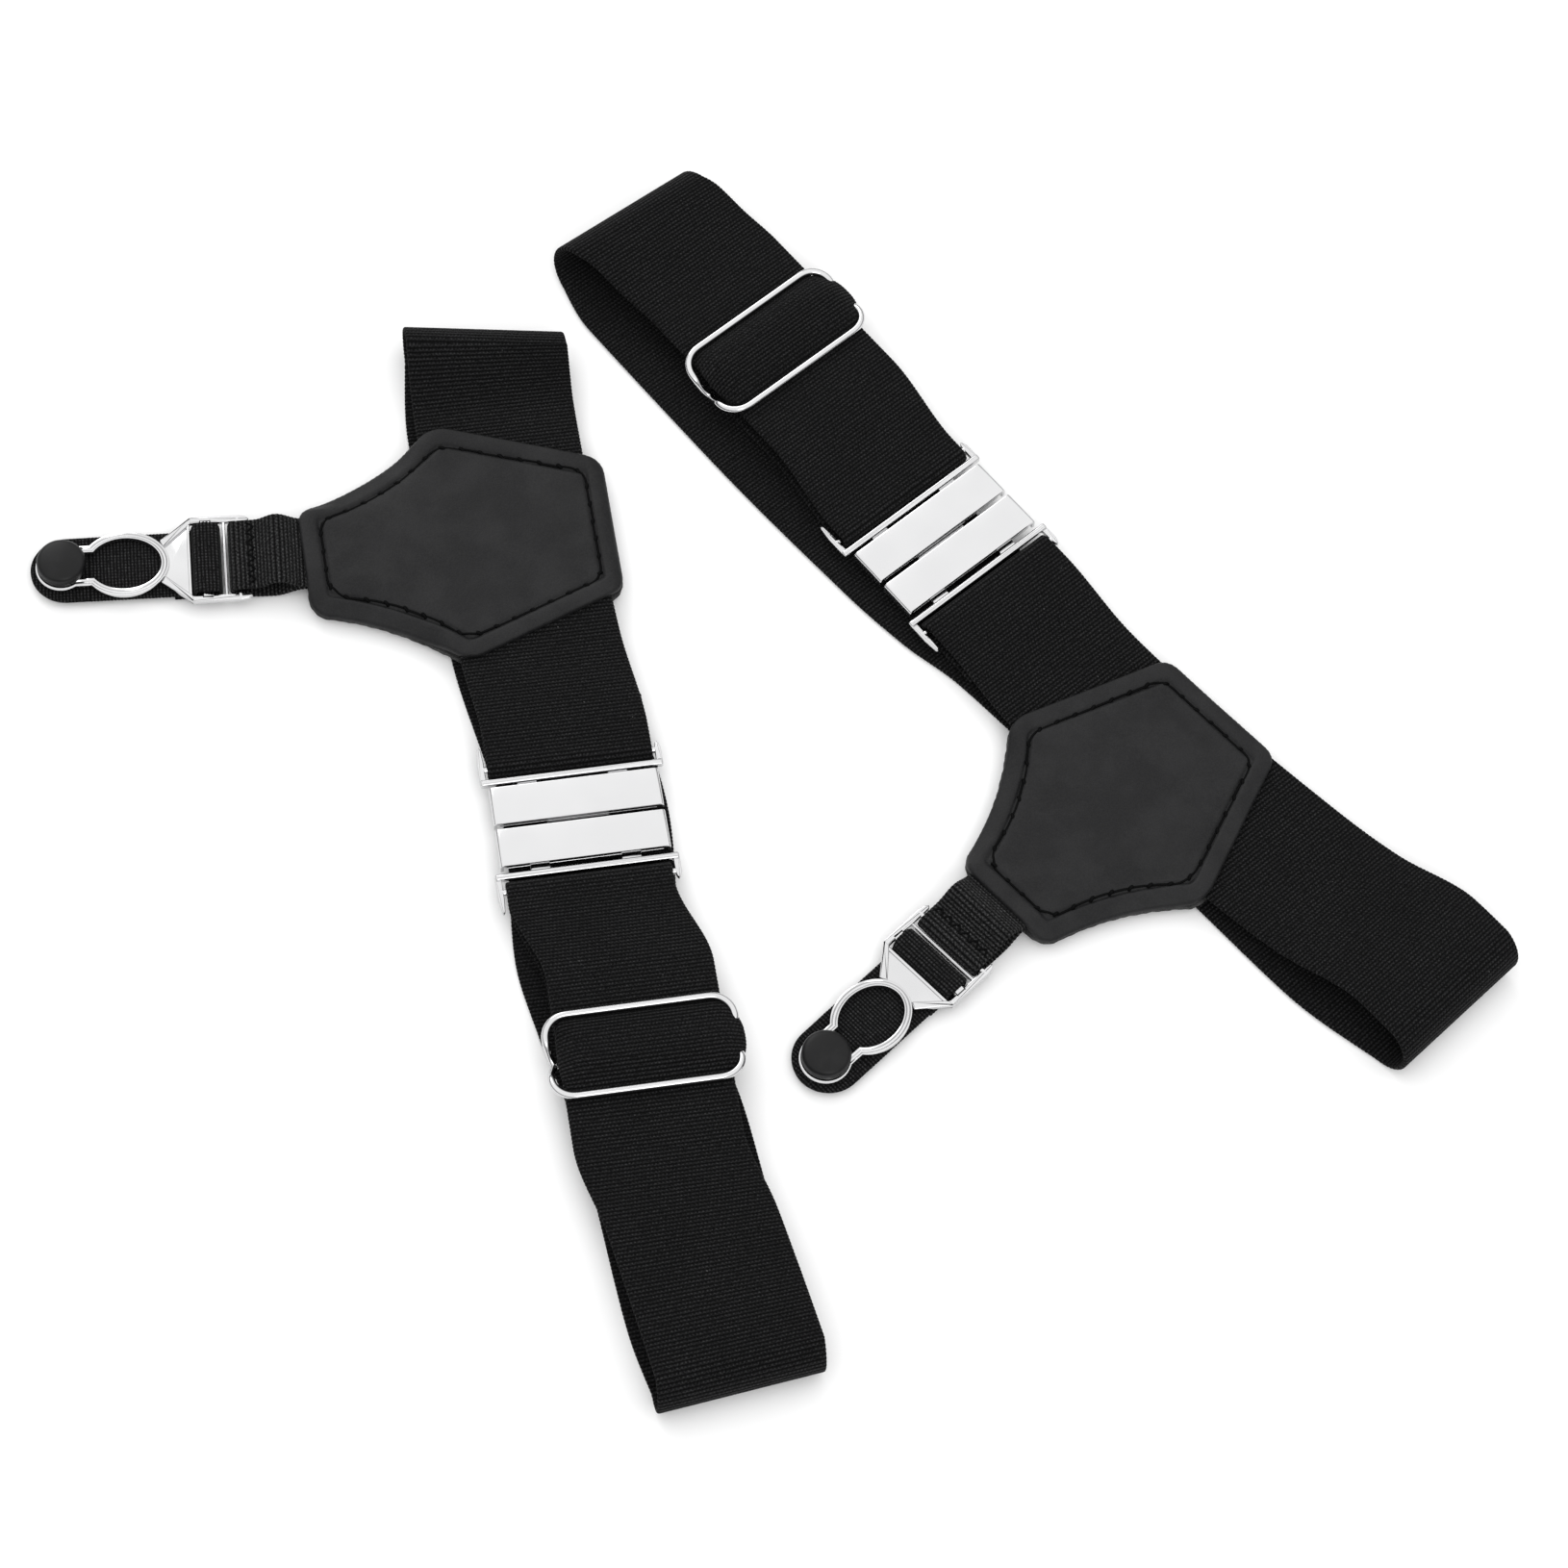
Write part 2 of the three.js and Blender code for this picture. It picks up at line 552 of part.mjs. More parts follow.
/** The patch's outline, drawn in by an inset: six round corners, and hollow sides at the clip end. */
function patchOutline(inset) {
  const narrow = PATCH_NARROW_PLACE - inset;
  const far = PATCH_FAR_PLACE + inset;
  const corners = [
    [PATCH_FAR_HALF - inset * 0.6, far],
    [PATCH_WIDE_HALF - inset * 1.15, PATCH_WIDE_PLACE - inset * 0.15],
    [PATCH_NARROW_HALF - inset * 0.75, narrow],
  ];
  const all = [...corners, ...corners.map(([s, t]) => [-s, t]).reverse()];
  const points = all.map((corner) => new THREE.Vector2(...corner));
  const shape = new THREE.Shape();
  points.forEach((corner, i) => {
    const before = points[(i + 5) % 6];
    const after = points[(i + 1) % 6];
    const enter = corner.clone().add(before.clone().sub(corner).setLength(PATCH_CORNER_RADIUS));
    const leave = corner.clone().add(after.clone().sub(corner).setLength(PATCH_CORNER_RADIUS));
    if (i === 0) {
      shape.moveTo(enter.x, enter.y);
    } else if (i === 2 || i === 4) {
      const middle = before.clone().add(corner).multiplyScalar(0.5);
      const inward = new THREE.Vector2(-middle.x, PATCH_WIDE_PLACE - middle.y).normalize();
      middle.addScaledVector(inward, 2 * PATCH_SIDE_SAG);
      shape.quadraticCurveTo(middle.x, middle.y, enter.x, enter.y);
    } else {
      shape.lineTo(enter.x, enter.y);
    }
    shape.quadraticCurveTo(corner.x, corner.y, leave.x, leave.y);
  });
  shape.closePath();
  return shape;
}

/** One leather layer of the patch, lying on the given height. */
function patchLeather(base) {
  const options = { depth: LEATHER_THICKNESS, bevelEnabled: false, curveSegments: 6 };
  return new THREE.ExtrudeGeometry(patchOutline(0), options).translate(0, 0, base);
}

/** The line of thread round the patch. */
function patchThread() {
  const z = PATCH_TOP_Z + CLEARANCE + THREAD_RADIUS;
  const outline = patchOutline(STITCH_INSET).getSpacedPoints(44).slice(0, -1);
  const points = outline.map((p) => new THREE.Vector3(p.x, p.y, z));
  return rod(new THREE.CatmullRomCurve3(points), THREAD_RADIUS, 64, 5);
}

// ---------------------------------------------------------------- clip strap and sock clip
// The clip is built with X across it and Y from its rear bar towards the button.

/** Stops of a strap or ribbon that runs along Y, from [y, z] points. */
function alongClip(points) {
  return points.map(([y, z]) => ({ point: [0, y, z], skew: -Math.PI / 2 }));
}

/** [y, z] points on a half turn round a bar of the clip: up over it, then down, or the reverse. */
function clipTurn(y, z, reach, radius, upward, steps = 10) {
  return range(0, 1, 1 / steps).map((u) => {
    const height = (upward ? -1 : 1) * radius * Math.cos(Math.PI * u);
    return [y + reach * Math.sin(Math.PI * u), z + height];
  });
}

/** Heights of the clip strap's upper and lower legs, by place along the clip. */
function strapLegs() {
  const inner = -STRAP_FREE_LENGTH - STRAP_SEWN_LENGTH;
  const upperPocket = PATCH_FRONT_Z - CLEARANCE - STRAP_THICKNESS / 2;
  const lowerPocket = PATCH_POCKET_Z + CLEARANCE + STRAP_THICKNESS / 2;
  const high = CLIP_Z + STRAP_FOLD_RADIUS;
  const low = CLIP_Z - STRAP_FOLD_RADIUS;
  return {
    upper: through([
      [inner, upperPocket],
      [STRAP_FLEX, upperPocket],
      [-6.6, high + 1.9],
      [-3.2, high + 0.05],
      [0, high],
    ]),
    lower: through([
      [inner, lowerPocket],
      [STRAP_FLEX, lowerPocket],
      [-4.5, low - 0.65],
      [0, low],
    ]),
  };
}

/** The clip strap's free loop, from the patch round the clip's rear bar and back. */
function clipStrap() {
  const { upper, lower } = strapLegs();
  const legs = range(STRAP_FLEX + CLEARANCE, 0, 1.2).slice(0, -1);
  return strap(
    alongClip([
      ...legs.map((y) => [y, lower(y)]),
      ...clipTurn(0, CLIP_Z, STRAP_FOLD_RADIUS, STRAP_FOLD_RADIUS, true),
      ...[...legs].reverse().map((y) => [y, upper(y)]),
    ]),
    STRAP_WIDTH,
    STRAP_THICKNESS,
  );
}

/** The part of the clip strap that is sewn between the patch's two layers of leather. */
function sewnStrap() {
  const { upper, lower } = strapLegs();
  const inner = -STRAP_FREE_LENGTH - STRAP_SEWN_LENGTH;
  const middle = (upper(inner) + lower(inner)) / 2;
  const half = (upper(inner) - lower(inner)) / 2;
  return strap(
    alongClip([
      [STRAP_FLEX, lower(STRAP_FLEX)],
      ...clipTurn(inner, middle, -half, half, true, 6),
      [STRAP_FLEX, upper(STRAP_FLEX)],
    ]),
    STRAP_WIDTH,
    STRAP_THICKNESS,
  );
}

/** The zigzag of thread across the strap, behind the fold. */
function strapZigzag() {
  const z = CLIP_Z + STRAP_FOLD_RADIUS + STRAP_THICKNESS / 2 + CLEARANCE + THREAD_RADIUS + 0.05;
  const half = STRAP_WIDTH / 2 - 0.8;
  const points = range(-half, half, 1.1).map((x, i) => {
    return new THREE.Vector3(x, i % 2 === 0 ? -2.9 : -1.9, z);
  });
  const path = new THREE.CatmullRomCurve3(points, false, "centripetal");
  return rod(path, THREAD_RADIUS, 3 * points.length, 5);
}

/** The keyhole's outline, grown by a wall: a small round end, a neck and a wide oval. */
function keyholeOutline(grow, Kind) {
  const endRadius = KEYHOLE_END_RADIUS + grow;
  const neck = BUTTON_NECK_RADIUS + CLEARANCE + 0.1 + grow;
  const ovalWidth = KEYHOLE_OVAL_HALF_WIDTH + grow;
  const ovalLength = KEYHOLE_OVAL_HALF_LENGTH + grow;
  const endAngle = Math.asin(neck / endRadius);
  const ovalAngle = Math.asin(neck / ovalWidth);
  const path = new Kind();
  path.absarc(0, BUTTON_PLACE, endRadius, endAngle - Math.PI / 2, 1.5 * Math.PI - endAngle, false);
  path.absellipse(0, OVAL_MIDDLE, ovalWidth, ovalLength, Math.PI / 2 + ovalAngle, 2.5 * Math.PI - ovalAngle, false);
  path.closePath();
  return path;
}

/** A rectangular slot across the clip. */
function slotHole(from, to) {
  const half = CLIP_HALF_WIDTH - 1.35;
  const corners = [[-half, from], [half, from], [half, to], [-half, to]];
  return new THREE.Path(corners.map((corner) => new THREE.Vector2(...corner)));
}

/** The stamped clip frame: keyhole loop, web, tongue bar, thin bar, rear bar and side arms. */
function clipFrame() {
  const options = { depth: CLIP_THICKNESS, bevelEnabled: false, curveSegments: 14 };
  const loop = new THREE.ExtrudeGeometry(keyholeOutline(CLIP_RING_STOCK, THREE.Shape), options);
  const web = OVAL_MIDDLE - KEYHOLE_OVAL_HALF_LENGTH - CLIP_RING_STOCK;
  const outline = [
    [CLIP_HALF_WIDTH, SLOT_A_END - 0.2],
    [3.6, web + 0.9],
    [-3.6, web + 0.9],
    [-CLIP_HALF_WIDTH, SLOT_A_END - 0.2],
    [-CLIP_HALF_WIDTH, 0.4],
    [-CLIP_HALF_WIDTH + 0.1, -1.4],
    [-CLIP_HALF_WIDTH + 0.7, -2.2],
    [-CLIP_HALF_WIDTH + 1.1, -CLIP_REAR_BAR / 2],
    [CLIP_HALF_WIDTH - 1.1, -CLIP_REAR_BAR / 2],
    [CLIP_HALF_WIDTH - 0.7, -2.2],
    [CLIP_HALF_WIDTH - 0.1, -1.4],
    [CLIP_HALF_WIDTH, 0.4],
  ];
  const body = new THREE.Shape(outline.map((corner) => new THREE.Vector2(...corner)));
  body.holes.push(slotHole(CLIP_REAR_BAR / 2, SLOT_C_END));
  body.holes.push(slotHole(SLOT_B_START, TONGUE_BAR_START));
  body.holes.push(slotHole(TONGUE_BAR_START + CLIP_TONGUE_BAR, SLOT_A_END));
  const plate = new THREE.ExtrudeGeometry(body, options);
  const keyhole = new THREE.ExtrudeGeometry(keyholeOutline(0, THREE.Shape), {
    ...options,
    depth: 3 * CLIP_THICKNESS,
  });
  keyhole.translate(0, 0, -CLIP_THICKNESS);
  return join([loop, plate], [keyhole]).translate(0, 0, CLIP_Z - CLIP_THICKNESS / 2);
}

/** The ribbon from its sewn end, round the tongue bar and under the clip to the tongue's end. */
function tongueRibbon() {
  const reach = CLIP_TONGUE_BAR / 2 + CLEARANCE + RIBBON_THICKNESS / 2;
  const over = CLIP_THICKNESS / 2 + CLEARANCE + RIBBON_THICKNESS / 2;
  const sewnZ = RIBBON_Z - RIBBON_THICKNESS - CLEARANCE - 0.02;
  const left = TONGUE_BAR_MIDDLE - reach;
  const right = TONGUE_BAR_MIDDLE + reach;
  const points = [
    [left + RIBBON_SEWN_LENGTH, sewnZ],
    [left + 1.8, sewnZ],
    [left + 0.5, sewnZ + 0.4],
    [left, RIBBON_Z],
    [left, CLIP_Z],
    [left + 0.3, CLIP_Z + over * 0.8],
    [left + 0.9, CLIP_Z + over],
    [right - 0.9, CLIP_Z + over],
    [right - 0.3, CLIP_Z + over * 0.8],
    [right, CLIP_Z],
    [right + 0.25, CLIP_Z - over * 0.75],
    [right + 1, RIBBON_Z],
    [TONGUE_SPLIT, RIBBON_Z],
  ];
  return strap(alongClip(points), RIBBON_WIDTH, RIBBON_THICKNESS);
}

/** The tongue's round end, with a hole for the stud. */
function tongueEnd() {
  const half = RIBBON_WIDTH / 2;
  const shape = new THREE.Shape();
  shape.moveTo(-half, TONGUE_SPLIT + CLEARANCE);
  shape.lineTo(half, TONGUE_SPLIT + CLEARANCE);
  shape.absarc(0, TONGUE_TIP - half, half, 0, Math.PI, false);
  shape.closePath();
  const hole = new THREE.Path();
  hole.absarc(0, BUTTON_PLACE, STUD_PIN_RADIUS + CLEARANCE, 0, 2 * Math.PI, true);
  shape.holes.push(hole);
  const options = { depth: RIBBON_THICKNESS, bevelEnabled: false, curveSegments: 10 };
  return new THREE.ExtrudeGeometry(shape, options).translate(0, 0, RIBBON_Z - RIBBON_THICKNESS / 2);
}

/** A profile of [radius, height] points turned round the button's axis. */
function turned(profile, sides) {
  const points = profile.map(([r, h]) => new THREE.Vector2(r, h));
  const solid = new THREE.LatheGeometry(points, sides);
  return solid.rotateX(Math.PI / 2).translate(0, BUTTON_PLACE, 0);
}

/** The rubber button: a low cap on a neck, hollow for the stud. */
function buttonKnob() {
  const neckBase = RIBBON_Z + RIBBON_THICKNESS / 2 + CLEARANCE;
  const capBase = CLIP_TOP_Z + CLEARANCE;
  const top = capBase + BUTTON_HEIGHT;
  const bore = STUD_PIN_RADIUS + CLEARANCE;
  return turned(
    [
      [0, capBase + 1.6 + CLEARANCE],
      [bore, capBase + 1.6 + CLEARANCE],
      [bore, neckBase],
      [BUTTON_NECK_RADIUS, neckBase],
      [BUTTON_NECK_RADIUS, capBase],
      [BUTTON_RADIUS - 0.3, capBase],
      [BUTTON_RADIUS, capBase + 0.5],
      [BUTTON_RADIUS, top - 1.1],
      [BUTTON_RADIUS - 0.35, top - 0.4],
      [BUTTON_RADIUS - 1, top - 0.05],
      [BUTTON_RADIUS - 2.2, top],
      [0, top],
    ],
    28,
  );
}

/** The stud that holds the button: a disc under the ribbon and a pin up into the button. */
function buttonStud() {
  const pinTop = CLIP_TOP_Z + CLEARANCE + 1.6;
  const discTop = TABLE_GAP + STUD_DISC_HEIGHT;
  return turned(
    [
      [0, TABLE_GAP],
      [STUD_DISC_RADIUS - 0.4, TABLE_GAP],
      [STUD_DISC_RADIUS, TABLE_GAP + 0.3],
      [STUD_DISC_RADIUS, discTop],
      [STUD_PIN_RADIUS, discTop],
      [STUD_PIN_RADIUS, pinTop],
      [0, pinTop],
    ],
    20,
  );
}

// ---------------------------------------------------------------- assembly

/** One garter's pieces, in a group that places, turns and mirrors them. */
function makeGarter(garter) {
  const name = (word) => `${garter.side}_${word}`;
  const group = new THREE.Group();
  const seamPlace = RECEIVER_BAR - SEWN_END_LENGTH - 2;
  const sliderDrift = through(garter.topDrift)(garter.sliderPlace);
  const atSlider = (geometry) => geometry.translate(garter.sliderPlace, sliderDrift, 0);
  const band = new THREE.Group();
  band.add(
    piece(name("band"), "elastic", strap(bandStops(garter), BAND_WIDTH, BAND_THICKNESS)),
    piece(name("band_return"), "elastic", returnLayer(garter)),
    piece(name("band_end_stitching"), "thread", seamThread(seamPlace)),
    piece(name("receiver_frame"), "nickel", placeOnClasp(receiverFrame(), false)),
    piece(name("receiver_cover"), "nickel", placeOnClasp(claspCover(), false)),
    piece(name("hook_frame"), "nickel", placeOnClasp(hookFrame(), true)),
    piece(name("hook_cover"), "nickel", placeOnClasp(claspCover(), true)),
    piece(name("slider_frame"), "nickel", atSlider(sliderFrame())),
    piece(name("slider_sewn_end"), "elastic", atSlider(sewnEnd())),
    piece(name("slider_end_stitching"), "thread", atSlider(seamThread(2 - SEWN_END_LENGTH))),
  );
  band.rotation.z = radians(garter.bandTurn);
  band.position.set(0, garter.bandShift, 0);
  const patch = new THREE.Group();
  patch.add(
    piece(name("patch_back"), "leather", patchLeather(PATCH_BACK_Z)),
    piece(name("patch_front"), "leather", patchLeather(PATCH_FRONT_Z)),
    piece(name("patch_stitching"), "thread", patchThread()),
  );
  patch.rotation.z = radians(garter.patchTurn);
  patch.position.set(
    garter.patchShift + PATCH_WIDE_PLACE * Math.sin(patch.rotation.z),
    PATCH_WIDE_PLACE * (1 - Math.cos(patch.rotation.z)),
    0,
  );
  const clip = new THREE.Group();
  clip.add(
    piece(name("clip_strap_sewn_end"), "elastic", sewnStrap()),
    piece(name("clip_strap"), "elastic", clipStrap()),
    piece(name("clip_strap_stitching"), "thread", strapZigzag()),
    piece(name("clip_frame"), "nickel", clipFrame()),
    piece(name("tongue_ribbon"), "ribbon", tongueRibbon()),
    piece(name("tongue_end"), "ribbon", tongueEnd()),
    piece(name("button_knob"), "rubber", buttonKnob()),
    piece(name("button_stud"), "nickel", buttonStud()),
  );
  clip.rotation.z = radians(garter.clipTurn);
  clip.position.set(
    garter.clipShift - STRAP_FREE_LENGTH * Math.sin(clip.rotation.z),
    PATCH_NARROW_PLACE + STRAP_FREE_LENGTH * Math.cos(clip.rotation.z),
    0,
  );
  group.add(band, patch, clip);
  group.position.set(...garter.place, 0);
  group.rotation.z = radians(garter.heading);
  group.scale.y = garter.mirror;
  return group;
}

const pair = new THREE.Group();
GARTERS.forEach((garter) => pair.add(makeGarter(garter)));

// The pair's origin is the middle of the ground that it covers.
pair.updateMatrixWorld(true);
const ground = new THREE.Box3().setFromObject(pair, true);
pair.position.set(-(ground.min.x + ground.max.x) / 2, -(ground.min.y + ground.max.y) / 2, 0);

export default pair;
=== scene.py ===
"""A pair of men's sock garters, dressed over their CAD frame.

Every length in this file is in millimetres unless a name says otherwise, and it is turned into metres
only when a mesh is made. A garter is built in its band's own frame: S along the band towards the
slider, T across it towards the sock clip, Z up from the table.
"""

from __future__ import annotations

import json
import logging
import math
from dataclasses import dataclass
from enum import Enum
from typing import Callable, Sequence

import bmesh
import bpy
import numpy as np
from mathutils import Matrix


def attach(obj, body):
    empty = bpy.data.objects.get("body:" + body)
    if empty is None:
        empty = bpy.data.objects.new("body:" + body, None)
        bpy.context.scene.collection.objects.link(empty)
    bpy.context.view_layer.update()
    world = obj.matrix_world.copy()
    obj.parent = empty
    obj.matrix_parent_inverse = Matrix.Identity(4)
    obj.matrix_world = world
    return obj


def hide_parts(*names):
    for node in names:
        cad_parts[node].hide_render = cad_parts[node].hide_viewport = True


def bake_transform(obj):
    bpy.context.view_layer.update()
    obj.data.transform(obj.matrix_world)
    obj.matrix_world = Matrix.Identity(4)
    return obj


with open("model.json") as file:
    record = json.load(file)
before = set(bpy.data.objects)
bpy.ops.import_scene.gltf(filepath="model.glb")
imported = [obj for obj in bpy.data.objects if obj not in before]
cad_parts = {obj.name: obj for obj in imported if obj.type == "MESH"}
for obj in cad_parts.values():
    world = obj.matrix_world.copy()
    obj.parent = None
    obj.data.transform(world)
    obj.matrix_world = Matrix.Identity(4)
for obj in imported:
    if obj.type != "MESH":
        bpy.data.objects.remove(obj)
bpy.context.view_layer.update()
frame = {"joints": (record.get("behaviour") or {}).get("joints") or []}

log = logging.getLogger("sock_garters")
Array = np.ndarray
Faces = Sequence[Sequence[int]]
Shape = tuple[Array, Faces]
Tint = tuple[float, float, float]

MM = 1000.0  # millimetres in a metre
CLOTH_MAP = "cloth"
CLOTH_SHARP = 80.0  # degrees past which an edge of cloth is drawn sharp
THREAD_SIDES = 8


# ------------------------------------------------------------------ shader maths


class Sock:
    """One value, colour or vector in a material, with the usual arithmetic."""

    def __init__(self, graph: "Graph", out: bpy.types.NodeSocket) -> None:
        """Keep the graph and the socket that the value comes out of."""
        self.graph = graph
        self.out = out

    def _math(self, kind: str, *values: "Sock | float") -> "Sock":
        """Add a Math node of a kind to the graph, and return its result."""
        links = dict(enumerate(values))
        return self.graph.node("ShaderNodeMath", {"operation": kind}, links)

    def __add__(self, other: "Sock | float") -> "Sock":
        """Sum."""
        return self._math("ADD", self, other)

    __radd__ = __add__

    def __sub__(self, other: "Sock | float") -> "Sock":
        """Difference."""
        return self._math("SUBTRACT", self, other)

    def __rsub__(self, other: float) -> "Sock":
        """Difference, from a number."""
        return self._math("SUBTRACT", other, self)

    def __mul__(self, other: "Sock | float") -> "Sock":
        """Product."""
        return self._math("MULTIPLY", self, other)

    __rmul__ = __mul__

    def __truediv__(self, other: "Sock | float") -> "Sock":
        """Quotient."""
        return self._math("DIVIDE", self, other)

    def sin(self) -> "Sock":
        """Sine, of radians."""
        return self._math("SINE", self)

    def floor(self) -> "Sock":
        """Whole part."""
        return self._math("FLOOR", self)

    def wave(self, pitch: float) -> "Sock":
        """A wave from 0 to 1 that repeats every pitch."""
        return (self * (2 * math.pi / pitch)).sin() * 0.5 + 0.5

    def step(self, low: float, high: float) -> "Sock":
        """A smooth rise from 0 to 1.

        Args:
            low: the value below which the result is 0.
            high: the value above which the result is 1.

        Returns:
            The rise.
        """
        settings = {"interpolation_type": "SMOOTHSTEP"}
        links = {"Value": self, "From Min": low, "From Max": high}
        return self.graph.node("ShaderNodeMapRange", settings, links)


class Graph:
    """A material's node graph, with a Principled shader to feed."""

    def __init__(self, name: str) -> None:
        """Start an empty material of that name.

        Args:
            name: the material's name.
        """
        self.material = bpy.data.materials.new(name)
        self.material.use_nodes = True
        self.tree = self.material.node_tree
        self.tree.nodes.clear()
        self.shader = self.tree.nodes.new("ShaderNodeBsdfPrincipled")
        output = self.tree.nodes.new("ShaderNodeOutputMaterial")
        self.tree.links.new(self.shader.outputs[0], output.inputs["Surface"])

    def _fill(self, socket: bpy.types.NodeSocket, value: object) -> None:
        """Set a socket, or link it where the value comes out of a node.

        Args:
            socket: the socket to fill.
            value: a number, colour or vector, or the Sock that carries one.
        """
        if isinstance(value, Sock):
            self.tree.links.new(value.out, socket)
        else:
            socket.default_value = value

    def node(
        self,
        kind: str,
        settings: dict[str, object] | None = None,
        links: dict[str | int, object] | None = None,
        out: str | int = 0,
    ) -> Sock:
        """Add one node.

        Args:
            kind: the node's type.
            settings: its settings, such as a Math node's operation.
            links: the value or the link of each socket named or numbered.
            out: the output that is wanted.

        Returns:
            That output.
        """
        made = self.tree.nodes.new(kind)
        for key, value in (settings or {}).items():
            setattr(made, key, value)
        for key, value in (links or {}).items():
            self._fill(made.inputs[key], value)
        return Sock(self, made.outputs[out])

    def feed(self, **values: object) -> None:
        """Set or link the shader's sockets, named with underscores for spaces."""
        for key, value in values.items():
            self._fill(self.shader.inputs[key.replace("_", " ")], value)

    def blend(self, factor: Sock, first: Sock | Tint, second: Sock | Tint) -> Sock:
        """Two colours mixed by a factor."""
        links = {0: factor, 6: colour(first), 7: colour(second)}
        return self.node("ShaderNodeMix", {"data_type": "RGBA"}, links, out=2)

    def bump(self, height: Sock, depth: float, strength: float = 1.0) -> Sock:
        """A normal from a height of 0 to 1 that stands for a depth in millimetres."""
        links = {"Height": height, "Distance": depth / MM, "Strength": strength}
        return self.node("ShaderNodeBump", {}, links)

    def cloth(self) -> tuple[Sock, Sock, Sock]:
        """The place on a piece of cloth, from its own map.

        Returns:
            The millimetres across it, the millimetres along it, and both as one vector.
        """
        both = self.node("ShaderNodeUVMap", {"uv_map": CLOTH_MAP})
        split = {"Vector": both}
        across = self.node("ShaderNodeSeparateXYZ", {}, split, "X")
        along = self.node("ShaderNodeSeparateXYZ", {}, split, "Y")
        return across, along, both

    def place(self) -> Sock:
        """The point's place in millimetres."""
        links = {0: self.node("ShaderNodeTexCoord", {}, {}, "Object"), 1: (MM, MM, MM)}
        return self.node("ShaderNodeVectorMath", {"operation": "MULTIPLY"}, links)

    def noise(self, where: Sock, size: float, detail: float = 3.0) -> Sock:
        """Cloudy noise of 0 to 1 whose blotches are about a size across."""
        links = {"Vector": where, "Scale": 1 / size, "Detail": detail, "Roughness": 0.6}
        return self.node("ShaderNodeTexNoise", {}, links)

    def cells(self, where: Sock, size: float, feature: str = "F1") -> Sock:
        """The distance within irregular cells of about a size across."""
        links = {"Vector": where, "Scale": 1 / size}
        return self.node("ShaderNodeTexVoronoi", {"feature": feature}, links, "Distance")


def colour(value: Sock | Tint) -> Sock | tuple[float, ...]:
    """A colour with its alpha, or the socket that carries one."""
    return value if isinstance(value, Sock) else (*value, 1.0)


# ------------------------------------------------------------------ finishes


class Slot(Enum):
    """The record's material slots."""

    ELASTIC = "elastic"
    RIBBON = "ribbon"
    LEATHER = "leather"
    NICKEL = "nickel"
    RUBBER = "rubber"
    THREAD = "thread"


@dataclass(frozen=True)
class Webbing:
    """Woven elastic with ribs across it and fine columns of yarn along it."""

    name: str
    rib: float
    column: float
    # painted shade in the hollows between ribs and yarn, and painted light on their crests
    groove_shade: Tint = (0.0008, 0.0008, 0.0009)
    crest_light: Tint = (0.036, 0.036, 0.037)
    lint_tint: Tint = (0.32, 0.32, 0.32)
    rib_share: float = 0.55
    depth: float = 0.26
    lint: float = 0.3
    lint_gap: float = 3.1
    shift: float = 0.5

    def make(self) -> bpy.types.Material:
        """Build the cloth's material.

        The ribs are a wave along the cloth, the yarn is a wave across it that may shift at each
        rib, and cloudy noise breaks both up. The colour is painted light on the crests of the ribs
        and yarn and painted shade in the hollows between them, broken up by random patches. Sparse
        pale specks are lint.

        Returns:
            The material.
        """
        g = Graph(self.name)
        across, along, both = g.cloth()
        wander = g.noise(both, 6.0) * 0.5
        row = (along / self.rib).floor()
        rib = (along + wander * 0.35).wave(self.rib)
        shifted = across + row * (self.column * self.shift) + wander * self.shift
        yarn = shifted.wave(self.column)
        patchy = g.noise(both, 0.9, 4.0)
        broad = g.noise(both, 14.0, 2.0)
        crossing = yarn * (1 - self.rib_share) * (rib * 0.6 + 0.4)
        height = rib * self.rib_share + crossing + patchy * 0.35
        stipple = g.noise(both, 0.32, 2.0).step(0.36, 0.66)
        # painted light and shade: the colour follows the ribs' and yarn's relief, light on the crests
        # and dark in the hollows
        weave = rib * 0.3 + rib * yarn * 0.7
        broken = patchy.step(0.3, 0.75) * 0.55 + stipple * 0.85
        base = g.blend(weave * broken * (broad * 0.6 + 0.6), self.groove_shade, self.crest_light)
        speck = 1 - g.cells(both, self.lint_gap).step(0.02, 0.05)
        fleck = speck * g.noise(both, 7.0).step(0.55, 0.6)
        g.feed(
            Base_Color=g.blend(fleck * self.lint, base, self.lint_tint),
            Roughness=patchy * 0.15 + 0.78,
            Normal=g.bump(height, self.depth),
            Sheen_Weight=0.03,
            Sheen_Roughness=0.5,
            Specular_IOR_Level=0.06,
        )
        return g.material


@dataclass(frozen=True)
class Leather:
    """Grained leather, or the brushed flesh side of it."""

    name: str
    base: Tint
    # painted light on the raised grain and painted shade in the pores, with broad random paler
    # patches
    grain_lit_and_pale: Tint
    grain: float = 0.55
    depth: float = 0.06
    rough: float = 0.5
    shine: float = 0.17

    def make(self) -> bpy.types.Material:
        """Build the leather: small irregular pebbles, fine pores and a slow change of tone. Its
        colour is painted lighter where the grain stands up and darker in the pores, and is paler in
        broad random patches.

        Returns:
            The material.
        """
        g = Graph(self.name)
        where = g.place()
        pebble = g.cells(where, self.grain, "SMOOTH_F1")
        pore = g.noise(where, 0.25, 5.0)
        broad = g.noise(where, 9.0)
        height = pebble * 0.6 + pore * 0.4
        # painted light and shade: paler on the raised pebbles and pore noise, darker in the pores,
        # plus broad random tone
        grain_light_and_tone = broad.step(0.35, 0.7) * 0.35 + pore.step(0.35, 0.68) * 0.4 + pebble * 0.2
        g.feed(
            Base_Color=g.blend(grain_light_and_tone, self.base, self.grain_lit_and_pale),
            Roughness=pore * 0.2 + (self.rough - 0.1),
            Normal=g.bump(height, self.depth),
            Specular_IOR_Level=self.shine,
        )
        return g.material


